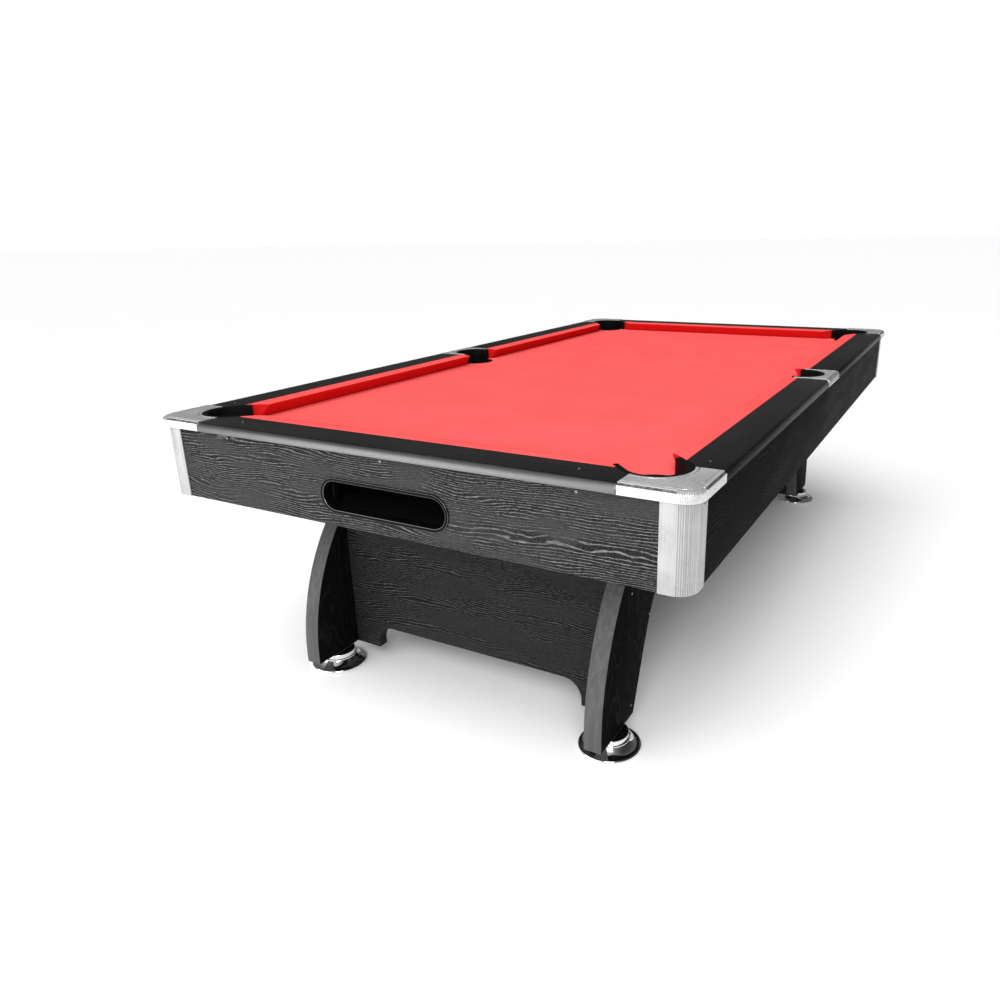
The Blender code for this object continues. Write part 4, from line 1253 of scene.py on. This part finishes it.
tray = rounded_box("ball_tray_finished", TRAY_LOW, TRAY_HIGH, TRAY_CORNER, TRAY_BLACK)
inner_low = (TRAY_LOW.x + TRAY_WALL, TRAY_LOW.y + TRAY_WALL, TRAY_LOW.z + TRAY_WALL)
inner_high = (TRAY_HIGH.x - TRAY_WALL, TRAY_HIGH.y - TRAY_WALL, TRAY_HIGH.z + OVERSHOOT)
hollow = rounded_box("hollow", inner_low, inner_high, HOLLOW_CORNER, TRAY_BLACK)
cut(tray, soften(hollow, HOLLOW_FILLET, 3, 60))
gate = block("gate", (TRAY_LOW.x - OVERSHOOT, RUN_Y - RUN_HALF, RUN_FLOOR),
             (TRAY_HIGH.x + OVERSHOOT, RUN_Y + RUN_HALF, TRAY_HIGH.z + 0.02), TRAY_BLACK)
cut(tray, gate)
way_in = block("way_in", (-SLOT_HALF - 0.03, TRAY_LOW.y - OVERSHOOT, SLOT_HEIGHT - SLOT_INSIDE),
               (SLOT_HALF + 0.03, TRAY_LOW.y + 0.02, TRAY_HIGH.z + 0.03), TRAY_BLACK)
cut(tray, way_in)
settle(tray, "black_moulding", "ball_tray")
print("tray:", [round(v, 4) for v in tray.dimensions])

# %% [markdown]
# Each leg is a thick board sawn to a sweeping outline, black on its faces with a paler band glued
# round its edge. The band's paler tone is partly painted light, for the light that falls on the edges.
# The outline is arcs and curves, and the bevel between face and band is what gives a sawn board its
# crisp line of light. The band is a second material on the faces of the edge.

# %% Legs
LEG_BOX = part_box("leg_front_right")
LEG_TOP = LEG_BOX[1].z
LEG_BOTTOM = LEG_BOX[0].z
LEG_OUTER_Y = 1.203
LEG_INNER_Y = 1.003
SWEEP_RADIUS = 0.609
SWEEP_BASE = 0.070
SWEEP_TOP = 0.462
NECK_Y = 1.000
HIP = (0.700, 0.475)
WAIST = (0.889, 0.308)
CABINET_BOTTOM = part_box("end_panel_front")[0].z
FOOT_Y = 1.100
LEG_X = (LEG_BOX[0].x + LEG_BOX[1].x) / 2
LEG_EDGE = 0.0013
STUD_HOLE_DEPTH = 0.063
STUD_HOLE_RADIUS = 0.0065


def leg_loop():
    """A leg seen from the side, as (distance from the middle of the table, height)."""
    centre = (LEG_OUTER_Y - SWEEP_RADIUS, SWEEP_BASE)
    sweep = math.degrees(math.asin((SWEEP_TOP - SWEEP_BASE) / SWEEP_RADIUS))
    outer = arc(centre, SWEEP_RADIUS, 0, sweep, 36)
    shoulder = outer[-1]
    neck_pull = (shoulder[0] - 0.03, shoulder[1] + 0.048)
    neck_push = (NECK_Y, CABINET_BOTTOM - 0.045)
    neck = bezier(shoulder, neck_pull, neck_push, (NECK_Y, CABINET_BOTTOM), 14)
    wing = bezier(HIP, (0.700, 0.400), (0.840, 0.395), WAIST, 24)
    calf = bezier(WAIST, (0.930, 0.236), (0.960, 0.150), (LEG_INNER_Y, LEG_BOTTOM), 24)
    top = [(NECK_Y, LEG_TOP), (HIP[0], LEG_TOP)]
    return [(LEG_OUTER_Y, LEG_BOTTOM)] + outer + neck[1:] + top + wing + calf[1:]


def turned_bar(name, x, y, low, high, radius, steps=32):
    rings = [[(x + radius * math.cos(t), y + radius * math.sin(t), z)
              for t in (2 * math.pi * i / steps for i in range(steps))] for z in (low, high)]
    return loft(name, rings)


def leg(name, sx, sy):
    low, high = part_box(f"leg_{name}")
    rings = [[(x, sy * y, z) for y, z in leg_loop()] for x in (low.x, high.x)]
    piece = soften(loft(f"leg_{name}_finished", rings, OAK_LEG_FACE), LEG_EDGE, 2, 50)
    cut(piece, turned_bar("stud_hole", sx * LEG_X, sy * FOOT_Y, LEG_BOTTOM - OVERSHOOT,
                          LEG_BOTTOM + STUD_HOLE_DEPTH, STUD_HOLE_RADIUS))
    piece.data.materials.append(LEG_BAND_AND_LIGHT)
    # The edge faces take the paler band, whose tone is partly painted light.
    for face in piece.data.polygons:
        if abs(face.normal.x) < 0.95:
            face.material_index = 1
    return piece


for side, sx in SIDES:
    for end, sy in ENDS:
        piece = leg(f"{end}_{side}", sx, sy)
        settle(piece, "leg_laminate", f"leg_{end}_{side}")
print("legs:", len(leg_loop()), "points in the outline")

# %% Boards between the legs
ARCH_HALF = 0.350
ARCH_HEIGHT = 0.121
ARCH_RADIUS = 0.055

for end, sy in ENDS:
    low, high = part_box(f"leg_panel_{end}")
    right = arc((ARCH_HALF - ARCH_RADIUS, ARCH_HEIGHT - ARCH_RADIUS), ARCH_RADIUS, 0, 90, 20)
    left = [(-x, z) for x, z in right]
    loop = [(low.x, high.z), (low.x, low.z), (-ARCH_HALF, low.z)] + left + right[::-1]
    loop += [(ARCH_HALF, low.z), (high.x, low.z), (high.x, high.z)]
    rings = [[(x, y, z) for x, z in loop] for y in (low.y, high.y)]
    piece = soften(loft(f"leg_panel_{end}_finished", rings, OAK_LEG_PANEL_SHADED), BOARD_EDGE, 2, 50)
    settle(piece, "grain_laminate", f"leg_panel_{end}")
print("leg boards made, arch", 2 * ARCH_HALF, "wide")

# %% [markdown]
# The feet are turned and chromed: a thin rim on the floor, a hollow cone, and a collar with tommy-bar
# holes for turning them. A mirror finish shows every facet, so they are turned with 128 steps. The
# studs are threaded rod. A true thread is a helix, and one height rule gives it: at each height the
# radius depends on how far round the point is.

# %% Levelling feet
FOOT_RADIUS = 0.083
FOOT_COLLAR = 0.050
COLLAR_EDGE = 0.002
RIM_ROUND = 0.0054
RIM_HEIGHT = 0.0064
HEEL_ROUND = 0.0018
FOOT_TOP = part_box("foot_front_right")[1].z
TURN_STEPS = 128
TOMMY_TURN = -62
TOMMY_HEIGHT = 0.0405
TOMMY_RADIUS = 0.0028
TOMMY_SPAN = (0.038, 0.056)


def foot_profile():
    """(radius, height) from the middle of the foot's top, down over the flare, to its underside."""
    collar = [(0.0, FOOT_TOP), (FOOT_COLLAR - COLLAR_EDGE, FOOT_TOP)]
    collar += arc((FOOT_COLLAR - COLLAR_EDGE, FOOT_TOP - COLLAR_EDGE), COLLAR_EDGE, 90, 0, 4)[1:]
    collar += [(FOOT_COLLAR, 0.0335), (FOOT_COLLAR + 0.0008, 0.0325), (FOOT_COLLAR + 0.0028, 0.0318),
               (FOOT_COLLAR + 0.0032, 0.0305)]
    flare = bezier((FOOT_COLLAR + 0.003, 0.029), (0.0575, 0.022), (0.065, 0.0135), (0.0768, 0.0108), 16)
    rim = arc((FOOT_RADIUS - RIM_ROUND, RIM_HEIGHT), RIM_ROUND, 84, 0, 12)
    heel = arc((FOOT_RADIUS - HEEL_ROUND, HEEL_ROUND), HEEL_ROUND, 0, -90, 4)
    return collar + flare + rim + heel + [(0.0, 0.0)]


def tommy_hole(x, y, turn):
    """A short bar across the collar's wall, for cutting a hole in it."""
    out = Vector((math.cos(turn), math.sin(turn), 0))
    beside = Vector((-out.y, out.x, 0))
    rings = []
    for reach in TOMMY_SPAN:
        middle = Vector((x, y, TOMMY_HEIGHT)) + out * reach
        rings.append([middle + beside * a + Vector((0, 0, b))
                      for a, b in arc((0, 0), TOMMY_RADIUS, 0, 360, 16)[:-1]])
    return loft("tommy_hole", rings, CHROME)


def foot(name, x, y):
    """Turned about the stud's axis; the two ends of the profile meet it at a pole."""
    profile = foot_profile()
    shape = bmesh.new()
    poles = [shape.verts.new((x, y, profile[0][1])), shape.verts.new((x, y, profile[-1][1]))]
    rows = []
    for r, z in profile[1:-1]:
        rows.append([shape.verts.new((x + r * math.cos(t), y + r * math.sin(t), z))
                     for t in (2 * math.pi * i / TURN_STEPS for i in range(TURN_STEPS))])
    for i in range(TURN_STEPS):
        j = (i + 1) % TURN_STEPS
        shape.faces.new((poles[0], rows[0][i], rows[0][j]))
        shape.faces.new((poles[1], rows[-1][j], rows[-1][i]))
        for one, two in zip(rows, rows[1:]):
            shape.faces.new((one[i], two[i], two[j], one[j]))
    piece = keep(name, shape, CHROME)
    for quarter in range(4):
        cut(piece, tommy_hole(x, y, math.radians(TOMMY_TURN + 90 * quarter)))
    return piece


print("foot profile:", len(foot_profile()), "points, turned in", TURN_STEPS, "steps")

# %% Threaded studs
THREAD_STEPS = 24
THREAD_RISE = 0.00175
THREAD_DEPTH = 0.0009
ROWS_A_TURN = 6
FADE = 0.001


def threaded_stud(name, x, y, low, high, radius):
    """A rod whose radius follows a helix, fading to plain at both ends."""
    count = round((high - low) / THREAD_RISE * ROWS_A_TURN)
    rings = []
    for k in range(count + 1):
        z = low + (high - low) * k / count
        fade = min(1.0, (z - low) / FADE, (high - z) / FADE)
        ring = []
        for i in range(THREAD_STEPS):
            turn = i / THREAD_STEPS
            phase = ((z - low) / THREAD_RISE - turn) % 1.0
            valley = abs(2 * phase - 1)
            r = radius - THREAD_DEPTH * (1 - fade * valley)
            ring.append((x + r * math.cos(2 * math.pi * turn), y + r * math.sin(2 * math.pi * turn), z))
        rings.append(ring)
    return loft(name, rings, ZINC)


for side, sx in SIDES:
    for end, sy in ENDS:
        body = f"foot_{end}_{side}_body"
        low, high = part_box(f"foot_stud_{end}_{side}")
        piece = foot(f"foot_{end}_{side}_finished", sx * LEG_X, sy * FOOT_Y)
        settle(piece, "mirror_chrome", f"foot_{end}_{side}", body=body)
        stud = threaded_stud(f"foot_stud_{end}_{side}_finished", sx * LEG_X, sy * FOOT_Y, low.z, high.z,
                             (high.x - low.x) / 2)
        settle(stud, "zinc_steel", f"foot_stud_{end}_{side}", body=body)
print("feet and studs made")

# %% [markdown]
# Screws show along the top of the end panels, on the posts, on the legs and on the rails. They are
# one head, repeated: a Geometry Nodes tree puts the head on every point of a cloud and turns it to
# the direction that each point carries. The head is a pan head with a cross recess.

# %% The head, and the tree that repeats it
HEAD_RADIUS = 0.0042
HEAD_HEIGHT = 0.0024


def screw_head(name, radius, height):
    """A pan head with a cross recess, facing +Z, with its seat at the origin."""
    profile = [(0.0, height)] + [(radius * math.sin(t), height * (0.25 + 0.75 * math.cos(t)))
                                 for t in (math.radians(12 * i) for i in range(1, 8))]
    profile += [(radius, height * 0.22), (radius, -0.0004)]
    profile = [(max(r, 0.00001), z) for r, z in profile]
    head = loft(name, [[(r * math.cos(t), r * math.sin(t), z)
                        for t in (2 * math.pi * i / 20 for i in range(20))] for r, z in profile])
    arm, wide = radius * 0.55, radius * 0.13
    for dx, dy in ((arm, wide), (wide, arm)):
        low, high = (-dx, -dy, height * 0.45), (dx, dy, height * 1.5)
        cut(head, block("recess", low, high, None))
    return head


def heads_on_points():
    """Points in, heads out, each turned to the way that its point faces."""
    tree, given, result = new_group("heads_on_points", [("Head", "Object"), ("Size", "Float"),
                                                        ("Finish", "Material")])
    facing = new_node(tree, "GeometryNodeInputNamedAttribute", {"Name": "facing"},
                      data_type="FLOAT_VECTOR")
    turn = new_node(tree, "FunctionNodeAlignRotationToVector", {"Vector": facing.outputs["Attribute"]},
                    axis="Z")
    head = new_node(tree, "GeometryNodeObjectInfo", {"Object": given.outputs["Head"]})
    size = add(tree, "CombineXYZ", {i: given.outputs["Size"] for i in (0, 1, 2)})
    points = new_node(tree, "GeometryNodeMeshToPoints", {"Mesh": given.outputs["Geometry"]})
    placed = new_node(tree, "GeometryNodeInstanceOnPoints", {
        "Points": points.outputs[0], "Instance": head.outputs["Geometry"],
        "Rotation": turn.outputs[0], "Scale": size.outputs[0]})
    return painted_result(tree, placed.outputs[0], given.outputs["Finish"], result)


HEADS = heads_on_points()
PAN_HEAD = screw_head("pan_head", HEAD_RADIUS, HEAD_HEIGHT)
PAN_HEAD.hide_render = True
print("tree:", HEADS.name, "with", len(HEADS.nodes), "nodes")


def screws(name, spots, size, paint, slot):
    """Heads at (point, facing) spots, as one piece."""
    mesh = bpy.data.meshes.new(name)
    mesh.from_pydata([spot for spot, _ in spots], [], [])
    mesh.attributes.new("facing", "FLOAT_VECTOR", "POINT").data.foreach_set(
        "vector", [value for _, way in spots for value in way])
    piece = grown(HEADS, name, mesh, {"Head": PAN_HEAD, "Size": size, "Finish": paint})
    return settle(piece, slot)


# %% Where the screws go
SCREW_HEIGHT = 0.7745
PANEL_SCREWS = (-0.500, 0.004, 0.503)
POST_SCREW = (POST_INSET + 0.052, 0.7775)
LEG_SCREWS = ((1.020, 0.081), (1.026, 0.407), (0.904, 0.296))
SIDE_PLUG = (0.052, 0.221)
END_PLUG = (0.487, 0.059)
RIVET_INSET = 0.046
RIVET_ALONG = SIDE_CAP_HALF - 0.006

panel_spots, post_spots, leg_spots, rail_spots, arm_spots = [], [], [], [], []
for _, sy in ENDS:
    face = sy * abs(PANEL_FACE)
    panel_spots += [((x, face, SCREW_HEIGHT), (0, sy, 0)) for x in PANEL_SCREWS]
    for _, sx in SIDES:
        post_spots.append(((sx * (HALF_WIDTH - POST_INSET), sy * (HALF_LENGTH - POST_SCREW[0]),
                            POST_SCREW[1]), (sx, 0, 0)))
        leg_face = sx * max(abs(LEG_BOX[0].x), abs(LEG_BOX[1].x))
        leg_spots += [((leg_face, sy * y, z), (sx, 0, 0)) for y, z in LEG_SCREWS]
        rail_spots += [((sx * x, sy * y, RAIL_TOP), (0, 0, 1))
                       for x, y in ((HALF_WIDTH - SIDE_PLUG[0], HALF_LENGTH - SIDE_PLUG[1]),
                                    (END_PLUG[0], HALF_LENGTH - END_PLUG[1]))]
for _, sx in SIDES:
    arm_spots += [((sx * (HALF_WIDTH - RIVET_INSET), along, TOP - GAP), (0, 0, 1))
                  for along in (-RIVET_ALONG, RIVET_ALONG)]
screws("panel_screws", panel_spots, 1.0, BLACK_ZINC, "zinc_steel")
screws("post_screws", post_spots, 1.5, BLACK_ZINC, "zinc_steel")
screws("leg_screws", leg_spots, 1.0, BLACK_ZINC, "zinc_steel")
screws("rail_plugs", rail_spots, 0.55, ZINC, "zinc_steel")
screws("cap_rivets", arm_spots, 0.65, SATIN, "satin_silver")
bpy.data.objects.remove(PAN_HEAD)
print("screws:", sum(map(len, (panel_spots, post_spots, leg_spots, rail_spots, arm_spots))))

# %% [markdown]
# The stage is a plain pale floor that runs far back, under a white sky. A long soft box stands at the
# front, to the left, and its reflection draws the edge of the front rail. A smaller one to the right
# lights the near corner, so the front shows its grain and the right side stays dark. A broad light
# overhead lights the cloth.

# %% Floor
FLOOR_RADIUS = 150


def pale_floor():
    paint, tree, shader = new_finish("pale_floor", specular=0.2)
    cloud = grains(tree, 2.0, detail=2.0)
    dress(tree, shader, mixed(tree, cloud, (0.94, 0.94, 0.94), (0.96, 0.96, 0.96)),
          ramp(tree, cloud, 0.3, 0.7, 0.75, 0.85))
    return paint


disc = arc((0, 0), FLOOR_RADIUS, 0, 360, 96)[:-1]
floor = loft("floor", [[(x, y, z) for x, y in disc] for z in (-0.02, -0.0002)], pale_floor())
print("floor:", FLOOR_RADIUS, "in radius")


# %% Sky and lights
def white_sky(front, back, right, seen):
    """White in view; as a light, bright in front of the table, dim behind and to the right of it."""
    world = bpy.data.worlds.new("white_sky")
    bpy.context.scene.world = world
    world.use_nodes = True
    tree = world.node_tree
    glow = tree.nodes["Background"]
    plug(tree, glow.inputs["Color"], (1.0, 1.0, 1.0, 1.0))
    towards = add(tree, "SeparateXYZ", {"Vector": add(tree, "TexCoord").outputs["Generated"]})
    light = ramp(tree, towards.outputs[1], -0.85, 0.15, front, back)
    light = calc(tree, "MULTIPLY", light, ramp(tree, towards.outputs[0], 0.1, 0.8, 1.0, right))
    in_view = add(tree, "LightPath").outputs["Is Camera Ray"]
    glow_strength = calc(tree, "MULTIPLY_ADD", in_view, calc(tree, "SUBTRACT", seen, light), light)
    tree.links.new(glow_strength, glow.inputs["Strength"])


def aimed(lamp, towards):
    """Point a lamp along a direction and put it in the scene."""
    lamp.rotation_mode = "QUATERNION"
    lamp.rotation_quaternion = Vector(towards).to_track_quat("-Z", "Y")
    bpy.context.scene.collection.objects.link(lamp)
    return lamp


def soft_box(name, place, aim, width, height, power):
    """A rectangle of light at a place, turned to the point that it is aimed at."""
    light = bpy.data.lights.new(name, "AREA")
    light.shape = "RECTANGLE"
    light.size, light.size_y, light.energy = width, height, power
    lamp = bpy.data.objects.new(name, light)
    lamp.location = place
    return aimed(lamp, Vector(aim) - Vector(place))


def overhead(name, towards, strength, spread):
    """A broad, even light from above that leaves no highlight of its own."""
    light = bpy.data.lights.new(name, "SUN")
    light.energy, light.angle = strength, math.radians(spread)
    lamp = bpy.data.objects.new(name, light)
    lamp.visible_glossy = False
    return aimed(lamp, towards)


white_sky(0.60, 0.12, 0.35, 1.0)
overhead("overhead", (-0.05, 0.30, -1.0), 2.85, 75)
soft_box("low_box", (-1.7, -4.2, 0.90), (-0.1, -1.2, 0.70), 4.2, 1.8, 78)
soft_box("near_box", (1.5, -3.5, 1.8), (0.4, -1.3, 0.7), 1.6, 1.2, 60)
bpy.context.scene.view_settings.view_transform = "Standard"

# %% [markdown]
# The camera stands before the near corner, a little above the table, and looks down along it. Its
# heading, dip and tilt are turned into three directions, which are the columns of its matrix.

# %% Camera
YAW, PITCH, ROLL = 0.4994, -0.3298, -0.0150
CAMERA_AT = (1.1624, -2.6453, 1.2533)
FOCAL = 0.77297
SHIFT_X = -0.0569
SENSOR = 36.0


def camera():
    """A camera from its heading, dip and tilt."""
    right = Vector((math.cos(YAW), math.sin(YAW), 0))
    ahead = Vector((-math.sin(YAW) * math.cos(PITCH), math.cos(YAW) * math.cos(PITCH), math.sin(PITCH)))
    up = right.cross(ahead)
    tilted = math.cos(ROLL) * right + math.sin(ROLL) * up
    raised = -math.sin(ROLL) * right + math.cos(ROLL) * up
    lens = bpy.data.cameras.new("camera")
    lens.sensor_width = SENSOR
    lens.lens = FOCAL * SENSOR
    lens.shift_x = SHIFT_X
    lens.clip_end = 200
    seen = bpy.data.objects.new("camera", lens)
    turned = Matrix((tilted, raised, -ahead)).transposed().to_4x4()
    seen.matrix_world = Matrix.Translation(CAMERA_AT) @ turned
    bpy.context.scene.collection.objects.link(seen)
    bpy.context.scene.camera = seen
    return lens


print("camera: focal length", round(camera().lens, 2), "mm")
